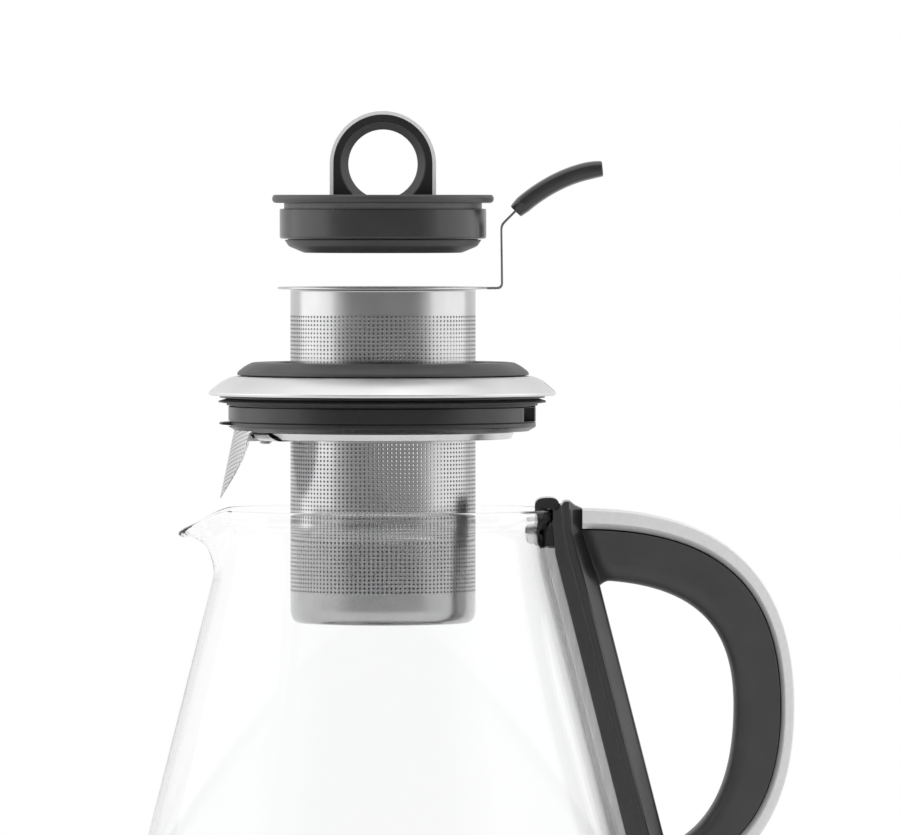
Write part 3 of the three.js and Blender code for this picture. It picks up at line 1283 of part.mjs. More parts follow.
function collarBody() {
  const top = -(TOP_RING_HEIGHT + SEAT_GAP);
  const [a, aDown, b, bDown] = DOME_CURVE_SHARES;
  const under = (across, down) => {
    const [radius, height] = domePoint(across, down, DOME_WALL);
    return [radius - SEAT_GAP, height - SEAT_GAP];
  };
  const body = turned([
    [BORE_RADIUS, top],
    [DOME_INNER_RADIUS - SEAT_GAP, top],
    under(0, 0),
    under(a, aDown),
    [Math.min(under(b, bDown)[0], LIP_RADIUS), under(b, bDown)[1]],
    [LIP_RADIUS, -(DOME_BOTTOM - DOME_WALL)],
    [LIP_RADIUS, -LIP_BOTTOM],
    [GASKET_INNER_RADIUS - SEAT_GAP, -LIP_BOTTOM],
    [GASKET_INNER_RADIUS - SEAT_GAP, -GASKET_BOTTOM - SEAT_GAP],
    [BODY_RADIUS, -GASKET_BOTTOM - SEAT_GAP],
    [BODY_RADIUS, -BODY_BOTTOM + BODY_CHAMFER],
    [BODY_RADIUS - BODY_CHAMFER, -BODY_BOTTOM],
    [SEAT_RADIUS, -BODY_BOTTOM],
    [SEAT_RADIUS, SEAT_TOP],
    [BORE_RADIUS, SEAT_TOP],
  ], RING_FACETS);
  const recess = block(
    [RECESS_REACH, -BODY_RADIUS, -RECESS_BOTTOM],
    [BODY_RADIUS + CUT_OVERRUN, BODY_RADIUS, -RECESS_TOP],
  );
  const hole = moved(screwHole(PAN_SCREW_LENGTH), 0, 0, -BODY_BOTTOM - PAN_WALL);
  const holes = aroundAxis(hole, PAN_SCREW_COUNT, PAN_SCREW_CIRCLE, Math.PI / PAN_SCREW_COUNT);
  return cut(body, tabSlot(), hookSlot(), recess, spoutSealRoom(), ...holes);
}

function collarGasket() {
  const middle = (GASKET_FIN_TOP + GASKET_FIN_BOTTOM) / 2;
  const ring = turned([
    [GASKET_INNER_RADIUS, -GASKET_BOTTOM],
    [GASKET_NECK_RADIUS, -GASKET_BOTTOM],
    [GASKET_NECK_RADIUS, -GASKET_FIN_BOTTOM],
    [GASKET_FIN_RADIUS, -middle - SEAT_GAP],
    [GASKET_FIN_RADIUS, -middle + SEAT_GAP],
    [GASKET_NECK_RADIUS, -GASKET_TOP],
    [GASKET_INNER_RADIUS, -GASKET_TOP],
  ], RING_FACETS);
  return cut(ring, hookSlot());
}

// A sector of a ring, from one height to another, with its middle towards the spout.
function spoutSector(inner, outer, halfAngle, low, high) {
  const shape = new THREE.Shape();
  shape.absarc(0, 0, outer, Math.PI - halfAngle, Math.PI + halfAngle, false);
  shape.absarc(0, 0, inner, Math.PI + halfAngle, Math.PI - halfAngle, true);
  const options = { depth: high - low, bevelEnabled: false, curveSegments: SMALL_FACETS };
  return closed(new THREE.ExtrudeGeometry(shape, options).translate(0, 0, low));
}

const SPOUT_SEAL_ROOT = BODY_RADIUS - SPOUT_SEAL_BITE;

function spoutSeal() {
  return spoutSector(
    SPOUT_SEAL_ROOT, SPOUT_SEAL_RADIUS, SPOUT_SEAL_ANGLE, -SPOUT_SEAL_BOTTOM, -SPOUT_SEAL_TOP,
  );
}

function spoutSealRoom() {
  const angleGap = SEAT_GAP / SPOUT_SEAL_ROOT;
  return spoutSector(
    SPOUT_SEAL_ROOT - SEAT_GAP, BODY_RADIUS + CUT_OVERRUN, SPOUT_SEAL_ANGLE + angleGap,
    -SPOUT_SEAL_BOTTOM - SEAT_GAP, -SPOUT_SEAL_TOP + SEAT_GAP,
  );
}

const PAN_TOP = -(BODY_BOTTOM + SEAT_GAP);
const PAN_FLOOR = PAN_TOP - PAN_WALL;

function collarPan() {
  const inner = SEAT_RADIUS + SEAT_GAP;
  const ring = turned([
    [inner, PAN_TOP],
    [inner, PAN_FLOOR],
    [PAN_RADIUS - PAN_WALL - PAN_TAPER / 2, PAN_FLOOR],
    [PAN_RADIUS - PAN_WALL - PAN_TAPER, PAN_TOP - PAN_HEIGHT],
    [PAN_RADIUS - PAN_TAPER, PAN_TOP - PAN_HEIGHT],
    [PAN_RADIUS, PAN_TOP],
  ], RING_FACETS);
  const hole = rod(SCREW_SHANK_RADIUS + SCREW_PLAY, PAN_FLOOR - CUT_OVERRUN, PAN_TOP + CUT_OVERRUN);
  return cut(ring, ...aroundAxis(hole, PAN_SCREW_COUNT, PAN_SCREW_CIRCLE, Math.PI / PAN_SCREW_COUNT));
}

// Half the strainer's width at a share of the way down: it narrows along a quarter of an oval.
function strainerHalfWidth(share) {
  const flat = STRAINER_HALF_WIDTH - STRAINER_TIP_HALF_WIDTH;
  return STRAINER_TIP_HALF_WIDTH + flat * Math.sqrt(1 - share ** 2);
}

// A point of the strainer's sheet, by its distance sideways and its share of the way down.
function strainerPoint(sideways, share, depth) {
  const radius = STRAINER_TOP_RADIUS + STRAINER_FLARE * share - depth;
  const angle = Math.PI + sideways / STRAINER_TOP_RADIUS;
  const height = -BODY_BOTTOM - SEAT_GAP - STRAINER_DROP * share;
  return new THREE.Vector3(radius * Math.cos(angle), radius * Math.sin(angle), height);
}

// The sheet as a row of upright slices, each from the top edge down to the tongue's outline.
function strainerSheet() {
  const rings = Array.from({ length: STRAINER_COLUMNS + 1 }, (_, i) => {
    const turn = (i / STRAINER_COLUMNS) * Math.PI;
    const sideways = -STRAINER_HALF_WIDTH * Math.cos(turn);
    const foot = strainerFoot(Math.abs(sideways));
    return [
      strainerPoint(sideways, 0, 0),
      strainerPoint(sideways, foot, 0),
      strainerPoint(sideways, foot, STRAINER_WALL),
      strainerPoint(sideways, 0, STRAINER_WALL),
    ];
  });
  return lofted(rings);
}

// How far down the outline lies at a distance sideways.
function strainerFoot(sideways) {
  const flat = STRAINER_HALF_WIDTH - STRAINER_TIP_HALF_WIDTH;
  const spread = Math.max(sideways - STRAINER_TIP_HALF_WIDTH, 0) / flat;
  return STRAINER_SIDE_SHARE + (1 - STRAINER_SIDE_SHARE) * Math.sqrt(Math.max(1 - spread ** 2, 0));
}

function strainerHoles() {
  const holes = [];
  const rows = Math.floor((STRAINER_DROP - STRAINER_MARGIN) / STRAINER_HOLE_PITCH);
  for (let row = 0; row < rows; row++) {
    const down = STRAINER_MARGIN + row * STRAINER_HOLE_PITCH;
    const reach = strainerHalfWidth(down / STRAINER_DROP) - STRAINER_MARGIN;
    const shift = (row % 2) * (STRAINER_HOLE_PITCH / 2);
    const across = Math.floor((reach - shift) / STRAINER_HOLE_PITCH);
    for (let column = -across - (row % 2); column <= across; column++) {
      const sideways = column * STRAINER_HOLE_PITCH + shift;
      const share = down / STRAINER_DROP;
      const place = strainerPoint(sideways, share, STRAINER_WALL / 2);
      const outside = strainerPoint(sideways, share, STRAINER_WALL / 2 - CUT_OVERRUN);
      const hole = new THREE.CylinderGeometry(
        STRAINER_HOLE_RADIUS, STRAINER_HOLE_RADIUS, CUT_OVERRUN, STRAINER_HOLE_SIDES,
      );
      const direction = outside.sub(place).normalize();
      hole.applyQuaternion(new THREE.Quaternion().setFromUnitVectors(new THREE.Vector3(0, 1, 0), direction));
      holes.push(closed(hole.translate(place.x, place.y, place.z)));
    }
  }
  return holes;
}

function spoutStrainer() {
  return cut(strainerSheet(), ...strainerHoles());
}

// A bent tab under the pan holds the top of the strainer.
function strainerBracket() {
  const outer = -(STRAINER_TOP_RADIUS - STRAINER_WALL - SEAT_GAP);
  const top = PAN_TOP - PAN_HEIGHT - SEAT_GAP;
  const legTop = top + PAN_HEIGHT - SEAT_GAP;
  const bracket = plate([
    [-BRACKET_INNER_REACH, top - BRACKET_THICKNESS],
    [-BRACKET_INNER_REACH, top],
    [outer + BRACKET_LEG, top],
    [outer + BRACKET_LEG, legTop],
    [outer + SEAT_GAP, legTop],
    [outer + SEAT_GAP, top - BRACKET_THICKNESS],
  ], BRACKET_WIDTH);
  const hole = rod(RIVET_RADIUS + SCREW_PLAY, top - BRACKET_THICKNESS - CUT_OVERRUN, top + CUT_OVERRUN / 2);
  const reach = -(BRACKET_INNER_REACH + RIVET_INSET);
  const holes = [-1, 1].map((side) => moved(hole, reach, (side * RIVET_SPACING) / 2, 0));
  return cut(bracket, ...holes, turned([
    [STRAINER_TOP_RADIUS - STRAINER_WALL - SEAT_GAP, legTop + CUT_OVERRUN],
    [STRAINER_TOP_RADIUS + CUT_OVERRUN, legTop + CUT_OVERRUN],
    [STRAINER_TOP_RADIUS + CUT_OVERRUN, top - CUT_OVERRUN],
    [STRAINER_TOP_RADIUS - STRAINER_WALL - SEAT_GAP, top - CUT_OVERRUN],
  ], RING_FACETS));
}

function strainerRivet(side) {
  const seat = PAN_TOP - PAN_HEIGHT - SEAT_GAP - BRACKET_THICKNESS - SEAT_GAP;
  const rivet = turned([
    [0, seat - RIVET_RADIUS],
    [RIVET_RADIUS, seat - RIVET_RADIUS],
    [RIVET_HEAD_RADIUS, seat],
    [RIVET_RADIUS, seat],
    [RIVET_RADIUS, seat + RIVET_LENGTH],
    [0, seat + RIVET_LENGTH],
  ], SMALL_FACETS);
  return rivet.translate(-(BRACKET_INNER_REACH + RIVET_INSET), (side * RIVET_SPACING) / 2, 0);
}

function collar() {
  const group = new THREE.Group();
  group.position.z = COLLAR_HEIGHT + COLLAR_LIFT;
  group.add(part('collar_top_ring', collarTopRing(), GREY_PLASTIC));
  group.add(part('collar_dome', collarDome(), STEEL));
  group.add(part('collar_body', collarBody(), BLACK_PLASTIC));
  group.add(part('collar_gasket', collarGasket(), SILICONE));
  group.add(part('spout_seal', spoutSeal(), SILICONE));
  group.add(part('collar_pan', collarPan(), STEEL));
  group.add(part('spout_strainer', spoutStrainer(), BRUSHED_STEEL));
  group.add(part('strainer_bracket', strainerBracket(), STEEL));
  [-1, 1].forEach((side, i) => {
    group.add(part(`strainer_rivet_${i + 1}`, strainerRivet(side), STEEL));
  });
  const fastener = moved(screw(PAN_SCREW_LENGTH), 0, 0, PAN_FLOOR - SEAT_GAP);
  aroundAxis(fastener, PAN_SCREW_COUNT, PAN_SCREW_CIRCLE, Math.PI / PAN_SCREW_COUNT).forEach((copy, i) => {
    group.add(part(`collar_screw_${i + 1}`, copy, STEEL));
  });
  return group;
}

// Infuser, with the top of its rim at height zero

function infuserBasket() {
  const inside = BASKET_RADIUS - BASKET_WALL;
  const bend = BASKET_CORNER * (1 - Math.SQRT1_2);
  return turned([
    [0, -BASKET_DEPTH],
    [BASKET_RADIUS - BASKET_CORNER, -BASKET_DEPTH],
    [BASKET_RADIUS - bend, -BASKET_DEPTH + bend],
    [BASKET_RADIUS, -BASKET_DEPTH + BASKET_CORNER],
    [BASKET_RADIUS, -BASKET_RIM_THICKNESS],
    [BASKET_RIM_RADIUS, -BASKET_RIM_THICKNESS],
    [BASKET_RIM_RADIUS, 0],
    [inside, 0],
    [inside, -BASKET_DEPTH + BASKET_CORNER],
    [BASKET_RADIUS - bend - BASKET_WALL, -BASKET_DEPTH + bend + BASKET_WALL],
    [BASKET_RADIUS - BASKET_CORNER, -BASKET_DEPTH + BASKET_WALL],
    [0, -BASKET_DEPTH + BASKET_WALL],
  ], RING_FACETS);
}

// The strap's middle line: out from the rim, straight up, then slanting into the grip.
function tangDirection() {
  return new THREE.Vector2(TANG_RUN, TANG_RISE).normalize();
}

function infuserStrap(play = 0) {
  const half = TAB_THICKNESS / 2 + play;
  const slant = tangDirection();
  const side = new THREE.Vector2(-slant.y, slant.x);
  const bend = new THREE.Vector2(TAB_REACH, TAB_RISE);
  const tip = bend.clone().addScaledVector(slant, Math.hypot(TANG_RUN, TANG_RISE) + TANG_LENGTH + play);
  const mitre = half * TAB_MITRE_SHARE;
  const rimMiddle = -BASKET_RIM_THICKNESS / 2;
  return plate([
    [BASKET_RIM_RADIUS + SEAT_GAP, rimMiddle - BASKET_RIM_THICKNESS / 2],
    [TAB_REACH + half - TAB_BEND, rimMiddle - BASKET_RIM_THICKNESS / 2],
    [TAB_REACH + half, rimMiddle - BASKET_RIM_THICKNESS / 2 + TAB_BEND],
    [TAB_REACH + half, TAB_RISE - mitre],
    [tip.x - side.x * half, tip.y - side.y * half],
    [tip.x + side.x * half, tip.y + side.y * half],
    [TAB_REACH - half, TAB_RISE + mitre],
    [TAB_REACH - half, rimMiddle + BASKET_RIM_THICKNESS / 2 + TAB_BEND / 2],
    [TAB_REACH - half - TAB_BEND / 2, rimMiddle + BASKET_RIM_THICKNESS / 2],
    [BASKET_RIM_RADIUS + SEAT_GAP, rimMiddle + BASKET_RIM_THICKNESS / 2],
  ], TAB_WIDTH + 2 * play);
}

// The grip's section grows smaller towards its root and towards its tip.
function spoonTaper(share) {
  const root = Math.max(0, (SPOON_ROOT_SHARE - share) / SPOON_ROOT_SHARE);
  const tip = Math.max(0, (share - 1 + SPOON_TIP_SHARE) / SPOON_TIP_SHARE);
  return 1 - SPOON_TIP_TAPER_SHARE * tip ** 2 - SPOON_ROOT_TAPER_SHARE * root;
}

// A curved grip like the end of a spoon handle, slipped over the strap's slanting tang.
function infuserGrip() {
  const slant = tangDirection();
  const start = new THREE.Vector2(TAB_REACH + TANG_RUN, TAB_RISE + TANG_RISE);
  const [bendRun, bendRise] = SPOON_BEND_SHARES;
  const line = new THREE.CubicBezierCurve(
    start,
    start.clone().addScaledVector(slant, SPOON_RUN * SPOON_START_SHARE),
    start.clone().add(new THREE.Vector2(SPOON_RUN * bendRun, SPOON_RISE * bendRise)),
    start.clone().add(new THREE.Vector2(SPOON_RUN, SPOON_RISE)),
  );
  const rings = Array.from({ length: SPOON_STEPS + 1 }, (_, i) => {
    const share = i / SPOON_STEPS;
    const centre = line.getPoint(share);
    const along = line.getTangent(share);
    const taper = spoonTaper(share);
    return Array.from({ length: SPOON_CORNERS }, (_, j) => {
      const turn = ((2 * j + 1) * Math.PI) / SPOON_CORNERS;
      const up = squared(Math.sin(turn), SPOON_SQUARENESS) * (SPOON_THICKNESS / 2) * taper;
      const across = squared(Math.cos(turn), SPOON_SQUARENESS) * (SPOON_WIDTH / 2) * taper;
      return new THREE.Vector3(centre.x - along.y * up, across, centre.y + along.x * up);
    });
  });
  return cut(lofted(rings), infuserStrap(SEAT_GAP));
}

function infuser() {
  const group = new THREE.Group();
  group.position.z = INFUSER_HEIGHT + COLLAR_LIFT + INFUSER_LIFT;
  group.add(part('infuser_basket', infuserBasket(), BRUSHED_STEEL));
  group.add(part('infuser_strap', infuserStrap(), STEEL));
  group.add(part('infuser_grip', infuserGrip(), GREY_PLASTIC));
  return group;
}

// Lid, with the underside of its flange at height zero

const LID_RING_TOP = -LID_NECK_HEIGHT;
const LID_RING_BOTTOM = -LID_NECK_HEIGHT - LID_RING_HEIGHT;

function lidScrewHoles(geometry) {
  return [-1, 1].map((side) => moved(geometry, (side * LID_SCREW_SPACING) / 2, 0, 0));
}

function lidCap() {
  const disc = turned([
    [0, 0],
    [FLANGE_RADIUS - FLANGE_EDGE, 0],
    [FLANGE_RADIUS, FLANGE_EDGE],
    [FLANGE_RADIUS, FLANGE_HEIGHT - FLANGE_EDGE],
    [FLANGE_RADIUS - FLANGE_EDGE, FLANGE_HEIGHT],
    [0, FLANGE_HEIGHT],
  ], RING_FACETS);
  const hole = rod(SCREW_SHANK_RADIUS + SCREW_PLAY, -CUT_OVERRUN, FLANGE_HEIGHT + CUT_OVERRUN);
  return cut(disc, ...lidScrewHoles(hole));
}

function lidNeck() {
  return turned([
    [LID_NECK_RADIUS - LID_NECK_WALL, LID_RING_TOP + SEAT_GAP],
    [LID_NECK_RADIUS, LID_RING_TOP + SEAT_GAP],
    [LID_NECK_RADIUS, -SEAT_GAP],
    [LID_NECK_RADIUS - LID_NECK_WALL, -SEAT_GAP],
  ], RING_FACETS);
}

function lidRing() {
  const inside = LID_RING_RADIUS - LID_RING_WALL;
  return turned([
    [inside, LID_RING_BOTTOM],
    [LID_RING_RADIUS - FLANGE_EDGE, LID_RING_BOTTOM],
    [LID_RING_RADIUS, LID_RING_BOTTOM + FLANGE_EDGE],
    [LID_RING_RADIUS, LID_RING_TOP],
    [inside, LID_RING_TOP],
  ], RING_FACETS);
}

function lidCup() {
  const top = LID_RING_BOTTOM - SEAT_GAP;
  const bottom = LID_RING_BOTTOM - CUP_HEIGHT;
  const plug = LID_RING_RADIUS - LID_RING_WALL - SEAT_GAP;
  const waist = top - (top - bottom) * CUP_WAIST_SHARE;
  return turned([
    [0, bottom],
    [CUP_BOTTOM_RADIUS, bottom],
    [CUP_WAIST_RADIUS, waist],
    [CUP_RADIUS, top],
    [plug, top],
    [plug, top + CUP_COLLAR_RISE],
    [plug - CUP_WALL, top + CUP_COLLAR_RISE],
    [CUP_BOTTOM_RADIUS - CUP_WALL, bottom + CUP_WALL],
    [0, bottom + CUP_WALL],
  ], RING_FACETS);
}

// The outline of an arch that stands on the flange: straight legs and a round head.
function archShape(radius, holeRadius) {
  const foot = FLANGE_HEIGHT + SEAT_GAP;
  const centre = FLANGE_HEIGHT + ARCH_CENTRE_HEIGHT;
  const rise = centre - foot;
  const open = holeRadius > rise ? Math.asin(rise / holeRadius) : Math.PI / 2;
  const shape = new THREE.Shape();
  shape.moveTo(radius, foot);
  shape.lineTo(radius, centre);
  shape.absarc(0, centre, radius, 0, Math.PI, false);
  shape.lineTo(-radius, foot);
  shape.lineTo(-holeRadius * Math.cos(open), foot);
  shape.absarc(0, centre, holeRadius, Math.PI + open, -open, true);
  return shape;
}

// The groove between the arch's border and the ring round its hole, on one face.
function archGroove() {
  const outer = ARCH_RADIUS - ARCH_BORDER;
  const inner = ARCH_HOLE_RADIUS + ARCH_TUNNEL;
  const foot = FLANGE_HEIGHT + SEAT_GAP + ARCH_BORDER;
  const centre = FLANGE_HEIGHT + ARCH_CENTRE_HEIGHT;
  const open = Math.asin((centre - foot) / inner);
  const shape = new THREE.Shape();
  shape.moveTo(outer, foot);
  shape.lineTo(outer, centre);
  shape.absarc(0, centre, outer, 0, Math.PI, false);
  shape.lineTo(-outer, foot);
  shape.lineTo(-inner * Math.cos(open), foot);
  shape.absarc(0, centre, inner, Math.PI + open, -open, true);
  return plateOf(shape, 2 * ARCH_RECESS);
}

function lidArch() {
  const arch = plateOf(archShape(ARCH_RADIUS, ARCH_HOLE_RADIUS), ARCH_DEPTH);
  const hole = rod(SCREW_SHANK_RADIUS + SCREW_PLAY, -CUT_OVERRUN, LID_SCREW_LENGTH + SCREW_PLAY);
  const grooves = [-1, 1].map((side) => moved(archGroove(), 0, (side * ARCH_DEPTH) / 2, 0));
  return cut(arch, ...grooves, ...lidScrewHoles(hole));
}

function lidArchTrim() {
  const foot = FLANGE_HEIGHT + SEAT_GAP;
  const centre = FLANGE_HEIGHT + ARCH_CENTRE_HEIGHT;
  const inner = ARCH_RADIUS + SEAT_GAP;
  const outer = inner + ARCH_TRIM_THICKNESS;
  const shape = new THREE.Shape();
  shape.moveTo(outer, foot);
  shape.lineTo(outer, centre);
  shape.absarc(0, centre, outer, 0, Math.PI, false);
  shape.lineTo(-outer, foot);
  shape.lineTo(-inner, foot);
  shape.lineTo(-inner, centre);
  shape.absarc(0, centre, inner, Math.PI, 0, true);
  shape.lineTo(inner, foot);
  return plateOf(shape, ARCH_DEPTH);
}

function lid() {
  const group = new THREE.Group();
  group.position.z = LID_HEIGHT + COLLAR_LIFT + INFUSER_LIFT + LID_LIFT;
  group.add(part('lid_cap', lidCap(), GREY_PLASTIC));
  group.add(part('lid_neck', lidNeck(), SILICONE));
  group.add(part('lid_ring', lidRing(), GREY_PLASTIC));
  group.add(part('lid_cup', lidCup(), BLACK_PLASTIC));
  group.add(part('lid_arch', lidArch(), GREY_PLASTIC));
  group.add(part('lid_arch_trim', lidArchTrim(), SILVER_PLASTIC));
  const fastener = moved(screw(LID_SCREW_LENGTH), 0, 0, -SEAT_GAP);
  lidScrewHoles(fastener).forEach((copy, i) => {
    group.add(part(`lid_screw_${i + 1}`, copy, STEEL));
  });
  return group;
}

const kettle = new THREE.Group();
kettle.add(powerBase());
kettle.add(part('swivel_ring', swivelRing(), GREY_PLASTIC));
kettle.add(jug());
kettle.add(part('switch_lever', switchLever(), GREY_PLASTIC));
kettle.add(collar(), infuser(), lid());

export default kettle;
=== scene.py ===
"""Electric tea kettle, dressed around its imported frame: conical glass jug on a cordless power base,
with its collar, perforated tea infuser and lid lifted apart above it."""

import math

import bmesh
import bpy
import numpy as np
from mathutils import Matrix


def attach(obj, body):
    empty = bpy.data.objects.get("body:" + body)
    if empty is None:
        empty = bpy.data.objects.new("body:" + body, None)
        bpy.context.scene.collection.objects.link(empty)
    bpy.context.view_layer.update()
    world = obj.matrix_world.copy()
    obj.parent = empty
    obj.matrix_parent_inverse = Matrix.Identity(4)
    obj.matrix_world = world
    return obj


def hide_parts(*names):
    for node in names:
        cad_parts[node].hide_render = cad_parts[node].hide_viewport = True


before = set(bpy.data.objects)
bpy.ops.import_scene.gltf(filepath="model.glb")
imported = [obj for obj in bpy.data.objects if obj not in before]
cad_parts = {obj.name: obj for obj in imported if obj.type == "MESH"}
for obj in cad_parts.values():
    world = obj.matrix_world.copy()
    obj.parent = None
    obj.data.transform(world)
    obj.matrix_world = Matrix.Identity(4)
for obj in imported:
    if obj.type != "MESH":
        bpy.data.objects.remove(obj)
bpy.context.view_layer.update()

# Studio: a pale floor that runs out to a white backdrop, two wide soft boxes at the sides and one above.
# The camera stands well back with a long lens, level with the lid, and looks slightly down.

MM = 0.001
PHOTO_WIDTH = 900
PHOTO_HEIGHT = 835
MM_PER_PIXEL = 0.35
AXIS_PIXEL = 383
RIM_PIXEL = 508.8
RIM_HEIGHT = 186
EYE_PIXEL = 200
CAMERA_DISTANCE = 3600
SENSOR = 36
KETTLE_MIDDLE = (0, 0, 0.17)


def photo_place(x, y):
    """A pixel's place on the upright plane through the jug's axis: right of the axis and above the floor, mm."""
    return (x - AXIS_PIXEL) * MM_PER_PIXEL, RIM_HEIGHT + (RIM_PIXEL - y) * MM_PER_PIXEL


aim_x, aim_z = photo_place(PHOTO_WIDTH / 2, PHOTO_HEIGHT / 2)
eye_z = photo_place(0, EYE_PIXEL)[1]
camera_data = bpy.data.cameras.new("camera")
camera_data.sensor_width = SENSOR
sight_length = math.hypot(CAMERA_DISTANCE, eye_z - aim_z)
camera_data.lens = SENSOR * sight_length / (PHOTO_WIDTH * MM_PER_PIXEL)
camera_data.clip_end = 100
camera = bpy.data.objects.new("camera", camera_data)
camera.location = (aim_x * MM, -CAMERA_DISTANCE * MM, eye_z * MM)
camera.rotation_euler = (math.pi / 2 - math.atan2(eye_z - aim_z, CAMERA_DISTANCE), 0, 0)
bpy.context.collection.objects.link(camera)
bpy.context.scene.camera = camera
bpy.context.scene.view_settings.view_transform = "Standard"


def softbox(name, place, size, watts):
    """A rectangular area lamp at a place in metres, turned towards the middle of the kettle."""
    lamp = bpy.data.lights.new(name, "AREA")
    lamp.shape = "RECTANGLE"
    lamp.size, lamp.size_y = size
    lamp.energy = watts
    lamp_object = bpy.data.objects.new(name, lamp)
    lamp_object.location = place
    aim = np.array(KETTLE_MIDDLE) - np.array(place)
    pitch = math.atan2(math.hypot(aim[0], aim[1]), -aim[2])
    lamp_object.rotation_euler = (pitch, 0, math.atan2(aim[1], aim[0]) - math.pi / 2)
    lamp_object.visible_camera = False
    lamp_object.visible_transmission = False
    bpy.context.collection.objects.link(lamp_object)


softbox("softbox_left", (-1.9, 0.1, 0.8), (2.4, 2.0), 13)
softbox("softbox_right", (1.9, 0.1, 0.7), (2.4, 2.0), 10)
softbox("softbox_top", (0.0, -0.2, 2.1), (2.0, 2.0), 9)

# The room is white behind and at the sides. Towards the camera it is dark, which is what the bright metal and
# the glossy plastic mirror down their middles, through the glass too.

ROOM_FRONT = (0.05, 0.05, 0.051, 1)
ROOM_BACK = (0.9, 0.9, 0.9, 1)
ROOM_LIGHT = (0.84, 0.84, 0.85, 1)
WHITE = (1, 1, 1, 1)


def wired(tree, kind, sockets=None, **settings):
    """A shader node with its settings. Each of its sockets is linked to another node's output or given a value."""
    node = tree.nodes.new("ShaderNode" + kind)
    for name, value in settings.items():
        setattr(node, name, value)
    for socket, value in (sockets or {}).items():
        if isinstance(value, bpy.types.NodeSocket):
            tree.links.new(value, node.inputs[socket])
        else:
            node.inputs[socket].default_value = value
    return node


def reckoned(tree, operation, first, second, clamp=False):
    """A sum, product or choice of two values."""
    return wired(tree, "Math", {0: first, 1: second}, operation=operation, use_clamp=clamp).outputs[0]


def mixed(tree, share, first, second):
    """A colour between two colours, by a share."""
    return wired(tree, "Mix", {"Factor": share, "A": first, "B": second}, data_type="RGBA").outputs["Result"]


def sight(tree):
    """Two flags of a ray: whether it comes straight from the eye, past clear pieces only, and whether a piece
    mirrored it on its way."""
    path = wired(tree, "LightPath").outputs
    seen = reckoned(tree, "MAXIMUM", path["Is Camera Ray"], path["Is Transmission Ray"])
    mirrored = reckoned(tree, "MINIMUM", path["Glossy Depth"], 1)
    return reckoned(tree, "SUBTRACT", seen, mirrored, clamp=True), mirrored


world = bpy.data.worlds.new("studio")
bpy.context.scene.world = world
world.use_nodes = True
tree = world.node_tree
tree.nodes.clear()
direct, mirrored = sight(tree)
heading = wired(tree, "SeparateXYZ", {0: wired(tree, "TexCoord").outputs["Generated"]}).outputs["Y"]
away = wired(tree, "MapRange", {"Value": heading, "From Min": -1, "From Max": 0.6}).outputs[0]
room = wired(tree, "ValToRGB", {"Fac": away})
room.color_ramp.interpolation = "EASE"
for element, position, colour in zip(room.color_ramp.elements, (0.14, 0.34), (ROOM_FRONT, ROOM_BACK)):
    element.position = position
    element.color = colour
lit = mixed(tree, mirrored, ROOM_LIGHT, room.outputs["Color"])
background = wired(tree, "Background", {"Color": mixed(tree, direct, lit, WHITE)})
wired(tree, "OutputWorld", {"Surface": background.outputs[0]})

# Floor: a matt white sheet that keeps the kettle's shadow. What polished pieces mirror of its front part is dark,
# like the rest of the room in front.

FLOOR_RADIUS = 12
FLOOR_SIDES = 96


def round_axis(radius, angle, height):
    """The points (r cos a, r sin a, z) round the upright axis."""
    return np.stack(np.broadcast_arrays(radius * np.cos(angle), radius * np.sin(angle), height), axis=-1)


floor_mesh = bpy.data.meshes.new("floor")
rim = round_axis(FLOOR_RADIUS, np.linspace(0, 2 * math.pi, FLOOR_SIDES, endpoint=False), 0)
floor_mesh.from_pydata(rim.tolist(), [], [list(range(FLOOR_SIDES))])
floor = bpy.data.objects.new("floor", floor_mesh)
bpy.context.collection.objects.link(floor)
pale = bpy.data.materials.new("pale_floor")
pale.use_nodes = True
tree = pale.node_tree
tree.nodes.clear()
direct, mirrored = sight(tree)
place = wired(tree, "TexCoord").outputs["Object"]
depth = wired(tree, "SeparateXYZ", {0: place}).outputs["Y"]
front = wired(tree, "MapRange", {"Value": depth, "From Min": -0.9, "From Max": -0.3, "To Min": 0.04})
bright = reckoned(tree, "MAXIMUM", direct, reckoned(tree, "MULTIPLY", front.outputs["Result"], mirrored))
distance = wired(tree, "VectorMath", {0: place}, operation="LENGTH").outputs["Value"]
fade = wired(tree, "MapRange", {"Value": distance, "From Min": 0.2, "From Max": 0.9, "To Min": 0.75})
share = reckoned(tree, "MULTIPLY", bright, fade.outputs["Result"])
diffuse = wired(tree, "BsdfDiffuse", {"Color": (0.8, 0.8, 0.8, 1)}).outputs[0]
glow = wired(tree, "Emission", {"Color": WHITE}).outputs[0]
surface = wired(tree, "MixShader", {0: share, 1: diffuse, 2: glow}).outputs[0]
wired(tree, "OutputMaterial", {"Surface": surface})
floor_mesh.materials.append(pale)

# Power base shell: one low round moulding in satin black plastic, with a rolled rim and a shallow dish that the
# jug stands in. It is open underneath, where the underside plate is screwed in.

BASE_RADIUS = 86.0
BASE_HEIGHT = 20.0
DISH_HEIGHT = 17.6
CONNECTOR_RADIUS = 17.0


